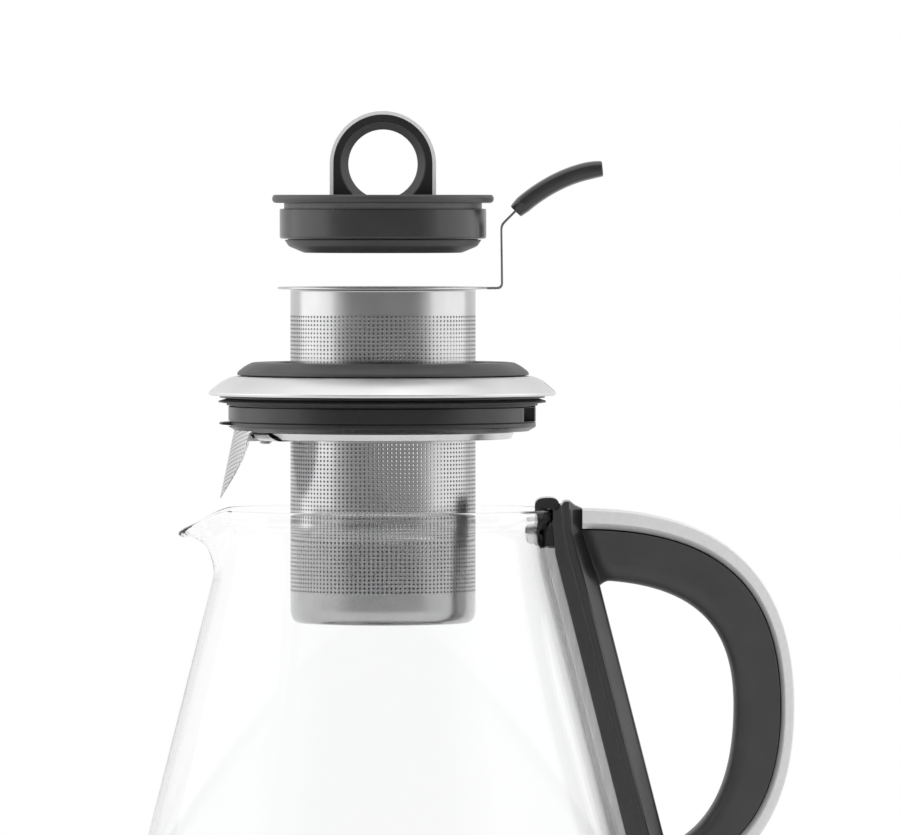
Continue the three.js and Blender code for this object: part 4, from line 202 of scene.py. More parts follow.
def rounded(corners, steps=5):
    """A closed line with rounded corners. Each row is a corner and, last, how far from it the round starts. The
    round is the curve (1-t)^2 A + 2t(1-t) P + t^2 B from the point A before the corner P to the point B after."""
    corners = np.asarray(corners, float)
    place, reach = corners[:, :-1], corners[:, -1:]
    ahead = np.roll(place, -1, axis=0) - place
    back = np.roll(place, 1, axis=0) - place
    start = place + back * np.minimum(reach / np.linalg.norm(back[:, :2], axis=1, keepdims=True), 0.49)
    stop = place + ahead * np.minimum(reach / np.linalg.norm(ahead[:, :2], axis=1, keepdims=True), 0.49)
    t = np.linspace(0, 1, steps + 1)[:, None, None]
    curve = (1 - t) ** 2 * start + 2 * t * (1 - t) * place + t ** 2 * stop
    line = curve.transpose(1, 0, 2).reshape(-1, place.shape[1])
    return line[np.linalg.norm(line - np.roll(line, 1, axis=0), axis=1) > 1e-6]


def woven(rows, columns, loop_rows=True, loop_columns=True):
    """The faces between a grid's neighbours, four corners each. A looped side joins its last line to its first."""
    i, j = np.meshgrid(
        np.arange(rows if loop_rows else rows - 1), np.arange(columns if loop_columns else columns - 1), indexing="ij"
    )
    below, beside = (i + 1) % rows, (j + 1) % columns
    corners = [i * columns + j, below * columns + j, below * columns + beside, i * columns + beside]
    return np.stack(corners, axis=-1).reshape(-1, 4)


def swept(line, turn):
    """A grid of the points (r cos a, r sin a, z) for each (r, z) of a line and each angle a of a column of angles."""
    line = np.asarray(line, float)
    return round_axis(line[:, 0], turn, line[:, 1])


def turned(profile, steps=160):
    """A turned shape's points and faces, from its (radius, height) profile. The profile is closed, unless it starts
    and ends on the axis."""
    angle = np.linspace(0, 2 * math.pi, steps, endpoint=False)[:, None]
    closed = max(profile[0][0], profile[-1][0]) > 0.001
    return swept(profile, angle).reshape(-1, 3), woven(steps, len(profile), True, closed).tolist()


def formed(name, points, faces, crease=32):
    """A piece from points in millimetres: doubles merged, faces turned outwards, edges past the crease sharp."""
    mesh = bpy.data.meshes.new(name)
    mesh.from_pydata((points * MM).tolist(), [], faces)
    work = bmesh.new()
    work.from_mesh(mesh)
    bmesh.ops.remove_doubles(work, verts=work.verts, dist=2e-6)
    bmesh.ops.recalc_face_normals(work, faces=work.faces)
    work.to_mesh(mesh)
    work.free()
    mesh.shade_smooth()
    mesh.set_sharp_from_angle(angle=math.radians(crease))
    piece = bpy.data.objects.new(name, mesh)
    bpy.context.collection.objects.link(piece)
    return piece


def lathe(name, corners, base=0, steps=160, corner_steps=5):
    """A turned piece from the rounded corners of its profile: radius, height above the base, and round."""
    return formed(name, *turned(rounded(np.asarray(corners, float) + (0, base, 0), corner_steps), steps))


def fitted(piece, body, slot, material, *nodes_replaced):
    """Gives a piece its finish and its body, and lets it stand for its CAD nodes."""
    even = piece.modifiers.new("even_shading", "WEIGHTED_NORMAL")
    even.keep_sharp = True
    piece.data.materials.append(material)
    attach(piece, body)
    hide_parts(*nodes_replaced)
    return piece


def grain(tree, scale, detail=3, stretch=(1, 1, 1)):
    """Noise over the piece's own coordinates, its features one over scale metres across."""
    place = wired(tree, "TexCoord").outputs["Object"]
    drawn = wired(tree, "Mapping", {"Vector": place, "Scale": stretch}).outputs["Vector"]
    noise = {"Vector": drawn, "Scale": scale, "Detail": detail, "Roughness": 0.55}
    return wired(tree, "TexNoise", noise).outputs["Fac"]


def spread(tree, noise, low, high):
    """The middle of a noise's range, drawn out between a low and a high value."""
    span = {"Value": noise, "From Min": 0.3, "From Max": 0.7, "To Min": low, "To Max": high}
    return wired(tree, "MapRange", span).outputs["Result"]


def relief(tree, noise, depth):
    """Normals of a surface that a noise raises and sinks, up to a depth in millimetres."""
    return wired(tree, "Bump", {"Height": noise, "Strength": 1, "Distance": depth * MM}).outputs["Normal"]


def finish(name, settings, tint, dark, light, gloss, roughness, swing, skin=None, depth=0):
    """A material that three noises vary, each given as what grain takes: the tint between a dark and a light colour,
    the gloss by a swing in roughness each way, and the skin by a depth in millimetres."""
    material = bpy.data.materials.new(name)
    material.use_nodes = True
    tree = material.node_tree
    inputs = tree.nodes["Principled BSDF"].inputs
    for socket, value in settings.items():
        inputs[socket].default_value = value
    share = spread(tree, grain(tree, *tint), 0, 1)
    tree.links.new(mixed(tree, share, (*dark, 1), (*light, 1)), inputs["Base Color"])
    gloss = spread(tree, grain(tree, *gloss), roughness - swing, roughness + swing)
    tree.links.new(gloss, inputs["Roughness"])
    if skin:
        tree.links.new(relief(tree, grain(tree, *skin), depth), inputs["Normal"])
    return material


def moulded_plastic(name, dark, light, roughness, texture):
    """Injection-moulded plastic: a spark-eroded texture of fine pits, slow drifts in gloss and a hint of mottling."""
    return finish(name, {"IOR": 1.5}, (90,), dark, light, (60, 2), roughness, 0.04, (2600, 2), texture)


black_plastic = moulded_plastic("satin_black_plastic", (0.013, 0.013, 0.0135), (0.018, 0.018, 0.0185), 0.3, 0.004)
base_shell = lathe("base_housing", [
    (83.6, 2, 0.3), (BASE_RADIUS, 2, 0.5), (BASE_RADIUS, BASE_HEIGHT, 4.4), (79.4, BASE_HEIGHT, 1.2),
    (77, DISH_HEIGHT, 1.2), (CONNECTOR_RADIUS + 0.3, DISH_HEIGHT, 0.5), (CONNECTOR_RADIUS + 0.3, DISH_HEIGHT - 2.4, 0),
    (77, DISH_HEIGHT - 2.4, 0.5), (83.6, 13.6, 0.5),
])
fitted(base_shell, "power_base", "black_plastic", black_plastic, "base_shell")

# Underside of the power base: a flat moulded plate with a low hub in its middle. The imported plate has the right
# form, with its sockets and screw wells, so it stays and is given the housing's black plastic.

underside = bpy.data.objects["base_underside"]
underside.data.materials.clear()
underside.data.materials.append(black_plastic)

# Rubber feet: four discs of soft black rubber pressed into round sockets, dished a little where they stand.

FOOT_CIRCLE = 68.0
FOOT_RADIUS = 7.0


def soft_rubber(name, colour, roughness):
    """Cast rubber or silicone: matt, slightly mottled, with a skin of very fine pits."""
    dark = tuple(0.85 * value for value in colour)
    settings = {"IOR": 1.45, "Sheen Weight": 0.06}
    return finish(name, settings, (160,), dark, colour, (140,), roughness, 0.06, (3200,), 0.008)


def around(count, radius, height, start=0.0):
    """Places evenly round the axis, the first at a starting angle."""
    return round_axis(radius, start + np.arange(count) * 2 * math.pi / count, height)


def placed(name, shape, places, body, slot, material, node, crease=32):
    """Pieces of one shape, each moved to its place, and numbered from 1 like their CAD nodes."""
    points, faces = shape
    for number, place in enumerate(places, 1):
        piece = formed(f"{name}_{number}", points + place, faces, crease)
        fitted(piece, body, slot, material, f"{node}_{number}")


rubber = soft_rubber("black_rubber", (0.016, 0.016, 0.017), 0.78)
foot = turned(rounded([
    (0, 0.3, 0), (3.2, 0.3, 0.4), (3.6, 0, 0.3), (FOOT_RADIUS - 0.3, 0, 0.7), (FOOT_RADIUS, 2.7, 0.2), (0, 2.7, 0),
]), steps=48)
feet = around(4, FOOT_CIRCLE, 0, math.pi / 4)
placed("foot", foot, feet, "power_base", "rubber", rubber, "rubber_foot")

# Pan-head screws hold the housings together: zinc-plated steel, each with a domed head and a cross recess that
# the driver pressed into it. The three in the power base stand in wells in the underside plate.

BASE_SCREW_CIRCLE = 46
SCREW_RADIUS = 2.7
SCREW_CROWN = 1.6
SCREW_SIDES = 48
HEAD_ROWS = 12
RECESS_DEPTH = 0.85
RECESS_REACH = 1.55
RECESS_HALF_WIDTH = 0.42

# Cloudy plating and faint scratches.
screw_steel = finish(
    "zinc_plated_steel", {"Metallic": 1}, (300,), (0.42, 0.42, 0.43), (0.6, 0.6, 0.6), (420,), 0.3, 0.06,
    (1800, 3, (1, 0.12, 0.3)), 0.004,
)


def screws(name, places, length, body, node, lying=False):
    """Screws with their heads' seats at places, pointing along +z, or along +x if they lie. The head is a dome, sunk
    where a cross of two bars lies, and its rows go on from the rim to the shank and its tip."""
    angle = np.linspace(0, 2 * math.pi, SCREW_SIDES, endpoint=False)[:, None]
    shank = [1, 1, 0.52, 0.52, 0.4, 0.0]
    ring = np.concatenate([np.linspace(0, 1, HEAD_ROWS), shank]) * SCREW_RADIUS
    x, y = ring * np.cos(angle), ring * np.sin(angle)
    dome = SCREW_CROWN * (1 - 0.75 * (ring / SCREW_RADIUS) ** 2.6)
    from_cross = RECESS_HALF_WIDTH - np.minimum(np.abs(x), np.abs(y))
    sunk = np.clip(from_cross / 0.12, 0, 1) * np.clip((RECESS_REACH - ring) / 0.3, 0, 1)
    z = RECESS_DEPTH * sunk - dome
    z[:, HEAD_ROWS:] = (0, 0, 0, length - 0.6, length, length)
    if lying:
        x, z = z, -x
    shape = np.stack([x, y, z], axis=-1).reshape(-1, 3), woven(SCREW_SIDES, len(ring), True, False).tolist()
    placed(name, shape, places, body, "steel", screw_steel, node, crease=40)


screws("underside_screw", around(3, BASE_SCREW_CIRCLE, 2.9), 8, "power_base", "base_screw")

# Connector: the round pillar in the middle of the dish that carries the current to the jug at any angle. It is
# moulded in dark grey plastic, with two ring slots for the jug's contacts and a pit for the centre pin.

grey_plastic = moulded_plastic("graphite_plastic", (0.03, 0.03, 0.031), (0.036, 0.036, 0.037), 0.24, 0.002)
connector = lathe("contact_pillar", [
    (0, 4.7, 0), (CONNECTOR_RADIUS, 4.7, 0.3), (CONNECTOR_RADIUS, 12.5, 0), (21, 12.5, 0.4), (21, 14.9, 0.4),
    (CONNECTOR_RADIUS, 14.9, 0), (CONNECTOR_RADIUS, 28.6, 2.6), (12.4, 28.6, 0.3), (12.4, 24, 0), (10.8, 24, 0),
    (10.8, 28.6, 0.3), (7.9, 28.6, 0.3), (7.9, 24, 0), (6.3, 24, 0), (6.3, 28.6, 0.3), (3, 28.6, 0.5),
    (3, 20.6, 0.4), (0, 20.6, 0),
], steps=96)
fitted(connector, "power_base", "grey_plastic", grey_plastic, "base_connector")

# Cord gland: a soft rubber bush in the back of the base where the mains lead would leave it. It has a collar
# inside the wall, a collar outside it and an eye through the middle.


def laid(axis, shape, place):
    """A turned shape with its axis laid along x or y instead of z, and moved to a place."""
    points, faces = shape
    return points[:, [2, 1, 0] if axis == "x" else [0, 2, 1]] + np.array(place), faces


bush = turned(rounded([
    (0, -7, 0), (4.1, -7, 0.5), (4.1, -3, 0.4), (3.2, -3, 0), (3.2, 0.3, 0), (4.1, 0.3, 0.3), (3.7, 2.2, 0.7),
    (1.9, 2.2, 0.4), (1.9, 0, 0.2), (0, 0, 0),
]), steps=48)
bush = formed("lead_bush", *laid("y", bush, (0, BASE_RADIUS, 9)))
fitted(bush, "power_base", "rubber", rubber, "cord_gland")

# Swivel ring: the loose ring round the pillar that turns with the jug. It is moulded in the same dark grey plastic,
# with an eased upper edge.

swivel_profile = [(17.9, 17.9, 0.2), (20.9, 17.9, 0.2), (20.9, 25.9, 1.2), (17.9, 25.9, 0.6)]
swivel = lathe("turning_ring", swivel_profile, steps=96)
fitted(swivel, "swivel_ring", "grey_plastic", grey_plastic, "swivel_ring")

# Base cover of the jug: a black moulded bowl under the heating plate, with a recess that fits over the pillar.
# A snout under the handle holds the switch in a pocket, and the lamp's window above it.

COVER_BOTTOM = 17.9
SNOUT_REACH = 106.0
SWITCH_HEIGHT = 37.0
COVER_SCREW_CIRCLE = 69


def capped(grid):
    """A body of looped rows: its points and the faces between the rows and over each end row."""
    rows, columns = grid.shape[:2]
    ends = [list(range(columns)), list(range((rows - 1) * columns, rows * columns))]
    return grid.reshape(-1, 3), woven(rows, columns, False, True).tolist() + ends


def slab(outline, width):
    """A plate with a closed outline of (x, z) points, as wide as its width across y = 0."""
    return capped(np.stack([np.insert(outline, 1, side, axis=1) for side in (-width / 2, width / 2)]))


def prism(corners, width, steps=5):
    """A plate whose outline's corners are rounded."""
    return slab(rounded(corners, steps), width)


def block(low, high):
    """A box between two opposite corners."""
    share = np.stack(np.meshgrid([0, 1], [0, 1], [0, 1], indexing="ij"), axis=-1).reshape(-1, 3)
    points = np.array(low, float) + share * (np.array(high, float) - np.array(low, float))
    return points, [[0, 1, 3, 2], [4, 6, 7, 5], [0, 4, 5, 1], [2, 3, 7, 6], [0, 2, 6, 4], [1, 5, 7, 3]]


def drill(radius, low, high, steps=32):
    """A plain round bar on the axis, to cut a hole with."""
    return turned([(0, low), (radius, low), (radius, high), (0, high)], steps)


def carve(piece, *shapes, crease=32, keep=False):
    """Cuts shapes, each points and faces, out of a piece, or keeps only what lies inside them."""
    for number, (points, faces) in enumerate(shapes):
        cutter = formed(f"{piece.name}_cutter_{number}", points, faces)
        cut = piece.modifiers.new("cut", "BOOLEAN")
        cut.object = cutter
        cut.solver = "EXACT"
        cut.operation = "INTERSECT" if keep else "DIFFERENCE"
        graph = bpy.context.evaluated_depsgraph_get()
        mesh = bpy.data.meshes.new_from_object(piece.evaluated_get(graph))
        piece.modifiers.clear()
        piece.data = mesh
        bpy.data.objects.remove(cutter)
    piece.data.shade_smooth()
    piece.data.set_sharp_from_angle(angle=math.radians(crease))
    return piece


def bevelled(piece, width, angle=40):
    """Eases a piece's sharp edges with a bevel, its width in millimetres."""
    ease = piece.modifiers.new("eased_edges", "BEVEL")
    ease.width = width * MM
    ease.segments = 3
    ease.limit_method = "ANGLE"
    ease.angle_limit = math.radians(angle)
    ease.harden_normals = True
    return piece


cover = lathe("jug_underside_bowl", [
    (21.8, COVER_BOTTOM, 0.5), (74, COVER_BOTTOM, 3), (83.5, 22.3, 4), (86.6, 36, 0.6), (84.2, 36, 0), (81.1, 24.7, 1),
    (71.6, 20.3, 0.5), (24.2, 20.3, 0.3), (24.2, 31.8, 0.3), (12.1, 31.8, 0), (12.1, 29.4, 0.2), (21.8, 29.4, 0.3),
])
well_points, well_faces = drill(3, 10, 20.7)
wells = around(3, COVER_SCREW_CIRCLE, 0, math.pi / 3)
carve(cover, *((well_points + place, well_faces) for place in wells))
fitted(cover, "jug", "black_plastic", black_plastic, "jug_base_cover")
snout = formed("switch_snout", *prism([
    (82, 23, 0), (98, 23, 3), (SNOUT_REACH, 31, 4), (SNOUT_REACH, 50, 3.4), (82, 50, 0),
], 23))
carve(
    snout,
    drill(88.5, 36, 60, steps=160),
    block((93.5, -7.6, 31.2), (112, 7.6, 42.6)),
    block((102.7, -3.8, 43.8), (110, 3.8, 46.6)),
)
fitted(bevelled(snout, 0.9), "jug", "black_plastic", black_plastic, "jug_base_cover")

# Cover screws: three long ones, of the same plated steel, go up through the bowl's wells into the band's shelf
# and hold the two together.

screws("bowl_screw", wells + (0, 0, 20.4), 21, "jug", "cover_screw")

# Lamp window: a small block of clear, faintly blue plastic, pressed into the snout's face over the pocket. It
# shows when the jug heats.

lens_material = finish(
    "clear_lamp_window", {"IOR": 1.49, "Transmission Weight": 0.75}, (500,), (0.66, 0.78, 0.88), (0.78, 0.87, 0.93),
    (900,), 0.13, 0.07, (700, 3, (1, 1, 4)), 0.01,
)
window = formed("lamp_window", *block((103, -3.5, 44.1), (SNOUT_REACH, 3.5, 46.3)))
fitted(bevelled(window, 0.35), "jug", "lens", lens_material, "indicator_lens")

# Heating plate: a pressed stainless disc that closes the jug's foot, polished round and round, with a rolled
# edge and a skirt that the seal grips.


def turned_steel(name, dark, light, roughness, lines, depth):
    """Stainless steel polished or brushed on a lathe: fine rings at one radius and height, broken now and then
    along their way, and cloudy gloss. The rings come from noise over radius, height and, drawn far out, x + y."""
    material = finish(name, {"Metallic": 1}, (45,), dark, light, (80,), roughness, 0.04)
    tree = material.node_tree
    x, y, z = wired(tree, "SeparateXYZ", {0: wired(tree, "TexCoord").outputs["Object"]}).outputs
    flat = wired(tree, "CombineXYZ", {"X": x, "Y": y}).outputs[0]
    radius = wired(tree, "VectorMath", {0: flat}, operation="LENGTH").outputs["Value"]
    drawn = reckoned(tree, "MULTIPLY", reckoned(tree, "ADD", x, y), 0.03)
    ring = wired(tree, "CombineXYZ", {"X": radius, "Y": z, "Z": drawn}).outputs[0]
    noise = wired(tree, "TexNoise", {"Vector": ring, "Scale": lines, "Detail": 3}).outputs["Fac"]
    tree.links.new(relief(tree, noise, depth), tree.nodes["Principled BSDF"].inputs["Normal"])
    return material


satin_steel = turned_steel("satin_steel", (0.62, 0.62, 0.63), (0.7, 0.7, 0.7), 0.24, 2600, 0.0012)
plate = lathe("boiling_plate", [
    (0, 49.6, 0), (81.8, 49.6, 0.8), (81.8, 37.8, 0.2), (83, 37.8, 0.2), (83, 50.8, 2.4), (64, 50.8, 0.8),
    (62.5, 50.4, 0.8), (0, 50.4, 0),
])
fitted(plate, "jug", "steel", satin_steel, "heating_plate")

# Plate seal: a ring cast in black silicone, squeezed between the plate's skirt, the glass and the band, so that
# the jug's foot is tight.

silicone = soft_rubber("black_silicone", (0.02, 0.02, 0.021), 0.5)
seal = lathe("foot_seal", [(83.3, 37.8, 0.4), (86.7, 37.8, 0.4), (86.7, 49.7, 0.4), (83.3, 49.7, 0.4)])
fitted(seal, "jug", "silicone", silicone, "plate_seal")

# Heating element and control: a steel tube brazed under the plate and the plastic body of the thermostat. Both
# are shut in between the plate and the bowl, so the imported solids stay, in their own steel and grey plastic.

for node, material in (("heating_element", screw_steel), ("thermal_control", grey_plastic)):
    inner = bpy.data.objects[node]
    inner.data.materials.clear()
    inner.data.materials.append(material)

# Steel band: rolled from brushed stainless sheet round the jug's foot, with its top edge curled in and a shelf
# turned in below for the screws.

brushed_steel = turned_steel("brushed_steel", (0.52, 0.52, 0.53), (0.62, 0.62, 0.62), 0.27, 1700, 0.003)
band = lathe("foot_band", [
    (64, 36.3, 0.3), (88.2, 36.3, 0.9), (88.2, 56, 0.7), (87, 56, 0.4), (87, 37.5, 0.3), (64, 37.5, 0.3),
])
fitted(band, "jug", "brushed_steel", brushed_steel, "base_band")

# Glass jug: blown borosilicate, a cone that narrows to a short neck and flares out to a fire-polished rim. A
# spout is pulled out and down at the rim while the glass is soft, so it dies away into the neck.

SPOUT_REACH = 11.9
SPOUT_DIP = 8.4
SPOUT_HALF_ANGLE = 0.44
CONE_RADIUS = 58.6
CONE_DROP = 21.5
CONE_SLOPE = (86.0 - CONE_RADIUS) / (129 - CONE_DROP)
GLASS_SIDES = 288

# A slow waviness left by blowing, and faint haze.
clear_glass = finish(
    "borosilicate_glass", {"IOR": 1.28, "Specular IOR Level": 0.25, "Transmission Weight": 1}, (12,),
    (0.992, 0.996, 0.996), (1, 1, 1), (30,), 0.005, 0.005, (20, 1), 0.02,
)
# Each row is radius, drop below the rim, its shares of the spout's reach and dip, and its round.
wall = rounded([
    (86.0, 136, 0, 0, 0.4), (86.0, 129, 0, 0, 6), (CONE_RADIUS, CONE_DROP, 0.02, 0, 4), (57.4, 13.2, 0.32, 0.12, 2.4),
    (57.4, 8.2, 0.52, 0.38, 2), (58.66, 5.8, 0.72, 0.52, 1), (60.2, 3.4, 0.8, 0.84, 1.2), (60.2, 0.6, 0.97, 1, 0.4),
    (59.6, 0, 1, 0.96, 0.3), (58.4, 0, 0.96, 0.8, 0.3), (57.8, 0.6, 0.88, 0.72, 0.4), (57.8, 3.4, 0.62, 0.54, 1.4),
    (55.0, 8.2, 0.54, 0.22, 2.2), (55.0, 13.2, 0.34, 0.04, 2.4), (56.2, CONE_DROP, 0.02, 0, 4), (83.6, 129, 0, 0, 6),
    (83.6, 136, 0, 0, 0.4),
], steps=6)
angle = np.linspace(0, 2 * math.pi, GLASS_SIDES, endpoint=False)[:, None]
away = np.abs(np.arctan2(np.sin(angle - math.pi), np.cos(angle - math.pi))) / SPOUT_HALF_ANGLE
hump = np.where(away < 1, np.cos(np.minimum(away, 1) * math.pi / 2) ** 2, 0)
radius = wall[:, 0] + SPOUT_REACH * wall[:, 2] * hump
height = RIM_HEIGHT - wall[:, 1] - SPOUT_DIP * wall[:, 3] * hump
glass_points = round_axis(radius, angle, height).reshape(-1, 3)
glass = formed("blown_glass_jug", glass_points, woven(GLASS_SIDES, len(wall)).tolist(), crease=60)
fitted(glass, "jug", "glass", clear_glass, "glass_jug")

# Handle spine: a brushed steel strip between the glass and the strap. Its front is hollowed to the curve of the
# glass, and it follows the cone up to the neck.


def glass_radius(drop):
    """Outer radius of the glass at a drop below the rim: along the cone, and above it along the shoulder."""
    shoulder = CONE_RADIUS - 1.2 * np.clip((CONE_DROP - drop) / 8.3, 0, 1)
    return np.where(drop < CONE_DROP, shoulder, CONE_RADIUS + CONE_SLOPE * (drop - CONE_DROP))


def below_rim(reach, across, drop):
    """Points at a reach from the jug's axis, a distance across and a drop below the rim."""
    return np.stack(np.broadcast_arrays(reach, across, RIM_HEIGHT - drop), axis=-1)


def brushed_strip(name, dark, light, roughness, stretch):
    """Stainless sheet brushed one way: long scratches, drawn out by the stretch, over cloudy gloss."""
    tint, skin = (700, 3, stretch), (1500, 3, stretch)
    return finish(name, {"Metallic": 1}, tint, dark, light, (90,), roughness, 0.05, skin, 0.006)


spine_line = rounded([(0, -10, 0.5), (1, -10, 0.12), (1, 10, 0.12), (0, 10, 0.5)], steps=4)
hollow = np.stack([np.zeros(15), np.linspace(9, -9, 15)], axis=-1)
spine_line = np.concatenate([spine_line[spine_line[:, 0] > 0.001], hollow])
drops = np.concatenate([np.linspace(129.1, 26, 24), np.linspace(24, 13.4, 16)])[:, None]
near = np.sqrt((glass_radius(drops) + 0.35) ** 2 - spine_line[:, 1] ** 2)
far = glass_radius(drops) + 3.3
spine_points = below_rim(near + (far - near) * spine_line[:, 0], spine_line[:, 1], drops)
spine_steel = brushed_strip("brushed_spine_steel", (0.7, 0.7, 0.71), (0.82, 0.82, 0.82), 0.34, (1, 1, 0.04))
spine = formed("steel_spine", *capped(spine_points))
fitted(spine, "jug", "brushed_steel", spine_steel, "handle_spine")

# Handle strap: the black moulding that runs down the jug's back. Its sides step in twice and then lean in to a
# narrow back, and its head has a groove and a small rib beside the hook.

STRAP_BACK = 16.0
STRAP_DEPTH = 12.1
SCREW_SPREAD = 5.5
SCREW_SEAT = 90.8
SCREW_HEIGHT = 62


def strap_back(drop):
    """How far out the strap's back lies: along the cone, above it in to the handle's crest, and there upright."""
    knee = float(glass_radius(np.array(CONE_DROP))) + STRAP_BACK
    above = np.interp(drop, [7.2, CONE_DROP], [69.7, knee])
    return np.where(drop >= CONE_DROP, glass_radius(drop) + STRAP_BACK, above)


# Each row is depth behind the glass, distance from the middle, and round.
flank = [
    (0, 12, 0.6), *((depth, 12, 0) for depth in np.linspace(0.7, 3.7, 7)), (4.2, 12, 0.25), (4.7, 11.1, 0.25),
    *((depth, 11.05, 0) for depth in np.linspace(5.1, 6.7, 5)), (7.1, 11, 0.25), (7.4, 10.2, 0.25),
    *((depth, 10.2 - (depth - 7.4) * 0.894, 0) for depth in np.linspace(8, 11, 6)), (STRAP_DEPTH, 6, 1.2),
]
side = rounded(flank + [(depth, -across, start) for depth, across, start in flank[::-1]], steps=4)
drops = np.array([135.7, 135.3, 100, 60, 30, 23, CONE_DROP, 20, 16, 12, 8, 7.2, 6.6, 3, 0.8])[:, None]
front = np.interp(drops, [0, 16, 135.7], [58.4, 60.3, 90.4])
reach = front + (strap_back(drops) - front) * side[:, 0] / STRAP_DEPTH
strap_points = below_rim(reach, side[:, 1], drops)
head_z = np.interp(
    reach[-1],
    [58.5, 61.2, 61.8, 62.6, 63.1, 63.8, 65.4, 66.3, 67, 69.7],
    [185.6, 186, 187.6, 187.6, 188.6, 188.9, 188.8, 188, 187.4, 186.2],
)
strap_points = np.concatenate([strap_points, np.stack([reach[-1], side[:, 1], head_z], axis=-1)[None]])
count = len(side)
faces = woven(len(strap_points), count, False, True).tolist() + [list(range(count))]
last = (len(strap_points) - 1) * count
left, right = last + np.flatnonzero(side[:, 1] > 0), last + np.flatnonzero(side[:, 1] < 0)[::-1]
pairs = min(len(left), len(right))
left, right = left[:pairs], right[:pairs]
faces += np.stack([left[:-1], left[1:], right[1:], right[:-1]], axis=-1).tolist()
strap = formed("handle_strap_moulding", strap_points.reshape(-1, 3), faces, crease=25)
rim_room = turned([(54, 176), (57.9, 176), (59.2, 180.2), (60.6, 182.6), (60.6, 187), (54, 187)], steps=192)
carve(strap, rim_room, block((50, -8.15, 172.8), (62.05, 8.15, 196)), crease=25)
for across in (-SCREW_SPREAD, SCREW_SPREAD):
    bore = turned([(0, -12), (3, -12), (3, 0.3), (1.7, 0.3), (1.7, 13), (0, 13)], steps=32)
    carve(strap, laid("x", bore, (SCREW_SEAT, across, SCREW_HEIGHT)), crease=25)
carve(strap, drill(88.6, 30, 56.3, steps=160), crease=25)
strap_plastic = moulded_plastic("semi_gloss_black_plastic", (0.014, 0.014, 0.0145), (0.02, 0.02, 0.0205), 0.24, 0.004)
strap_plastic.node_tree.nodes["Principled BSDF"].inputs["Specular IOR Level"].default_value = 0.85
fitted(strap, "jug", "black_plastic", strap_plastic, "handle_strap")

# Handle grip and trim: a D-shaped loop that leaves the strap near its head and comes back near its foot. The grip
# is soft-touch graphite plastic, and a silver painted trim with a bevelled inner edge is clipped round its outside.

HANDLE_CREST = 69.95
HANDLE_REACH = 143.8
HANDLE_HEIGHT = 138.2
HANDLE_MIDDLE = 68.8
TRIM_SIDE = 4.6
TRIM_TOP = 6.8
GRIP_SIDE = 16.4
GRIP_TOP = 18.0
GRIP_SAG = 10.6
GRIP_SUNK = 1.6
TRIM_LAP = 0.3
TRIM_PULLS = (0.738, 0.601)
INNER_PULLS = (0.645, 0.723)
GRIP_PULLS = (0.742, 0.638)


def cubic(controls, t):
    """Points of the curve (1-t)^3 A + 3t(1-t)^2 B + 3t^2(1-t) C + t^3 D."""
    weights = np.stack([(1 - t) ** 3, 3 * t * (1 - t) ** 2, 3 * t ** 2 * (1 - t), t ** 3], axis=1)
    return weights @ np.array(controls)


def handle_edge(inset_side, inset_top, pulls, sunk=0.0, lower=0.0, count=70):
    """One edge of the D as (reach, drop) points. Each half is a cubic from the crest out to the far side, with a
    level run before the crest. It is taken from where it is sunk that far into the strap's back, and the foot can
    lie lower than the head mirrored."""
    far = HANDLE_REACH - inset_side
    halves = []
    for near in (inset_top, HANDLE_HEIGHT - inset_top + lower):
        pulled_out = (HANDLE_CREST + (far - HANDLE_CREST) * pulls[0], near)
        pulled_up = (far, HANDLE_MIDDLE + (near - HANDLE_MIDDLE) * pulls[1])
        t = np.linspace(0, 1, 2001)
        bow = cubic([(HANDLE_CREST, near), pulled_out, pulled_up, (far, HANDLE_MIDDLE)], t)
        before = np.linspace(-0.05, 0, 100, endpoint=False)
        level = np.stack([HANDLE_CREST + 60 * before, near + 0 * before], axis=1)
        curve, t = np.concatenate([level, bow]), np.concatenate([before, t])
        start = t[np.argmax(curve[:, 0] - strap_back(curve[:, 1]) >= -sunk)]
        along = start + (1 - start) * np.linspace(0, 1, count) ** 1.3
        halves.append(np.stack([np.interp(along, t, curve[:, 0]), np.interp(along, t, curve[:, 1])], axis=1))
    return np.concatenate([halves[0], halves[1][-2::-1]])


def between_edges(name, inner, outer, section, crease=30, necked=0.0):
    """A body swept round the D: the section's first value runs from -1 at the inner edge to 1 at the outer edge,
    and its second is the distance across in millimetres, which is narrower by a share where it leaves the strap."""
    centre, arm = (inner + outer) / 2, (outer - inner) / 2
    along = centre[:, None, :] + arm[:, None, :] * section[None, :, :1]
    free = centre[:, 0] - strap_back(centre[:, 1])
    width = 1 - necked * np.clip(1 - free / 5.5, 0, 1) ** 2
    points = below_rim(along[..., 0], section[:, 1] * width[:, None], along[..., 1])
    return formed(name, *capped(points), crease=crease)


soft_plastic = moulded_plastic("soft_touch_graphite", (0.042, 0.042, 0.043), (0.05, 0.05, 0.051), 0.46, 0.008)
grip_section = rounded([
    (-8.2, -11, 6.6), (8.0, -10.6, 0.4), (8.0, -6.5, 0), (8.7, -6.5, 0), (8.7, 6.5, 0), (8.0, 6.5, 0),
    (8.0, 10.6, 0.4), (-8.2, 11, 6.6),
], steps=12) / (8.2, 1)
grip_inner = handle_edge(TRIM_SIDE + GRIP_SIDE, TRIM_TOP + GRIP_TOP, GRIP_PULLS, sunk=GRIP_SUNK, lower=GRIP_SAG)
grip_outer = handle_edge(TRIM_SIDE + TRIM_LAP, TRIM_TOP + TRIM_LAP, INNER_PULLS, sunk=GRIP_SUNK)
fillet = 2.4 * np.clip(1 - (grip_inner[:, 0] - strap_back(grip_inner[:, 1])) / 4, 0, 1) ** 2
grip_inner[:, 1] += np.where(np.arange(len(grip_inner)) < len(grip_inner) / 2, fillet, -fillet)
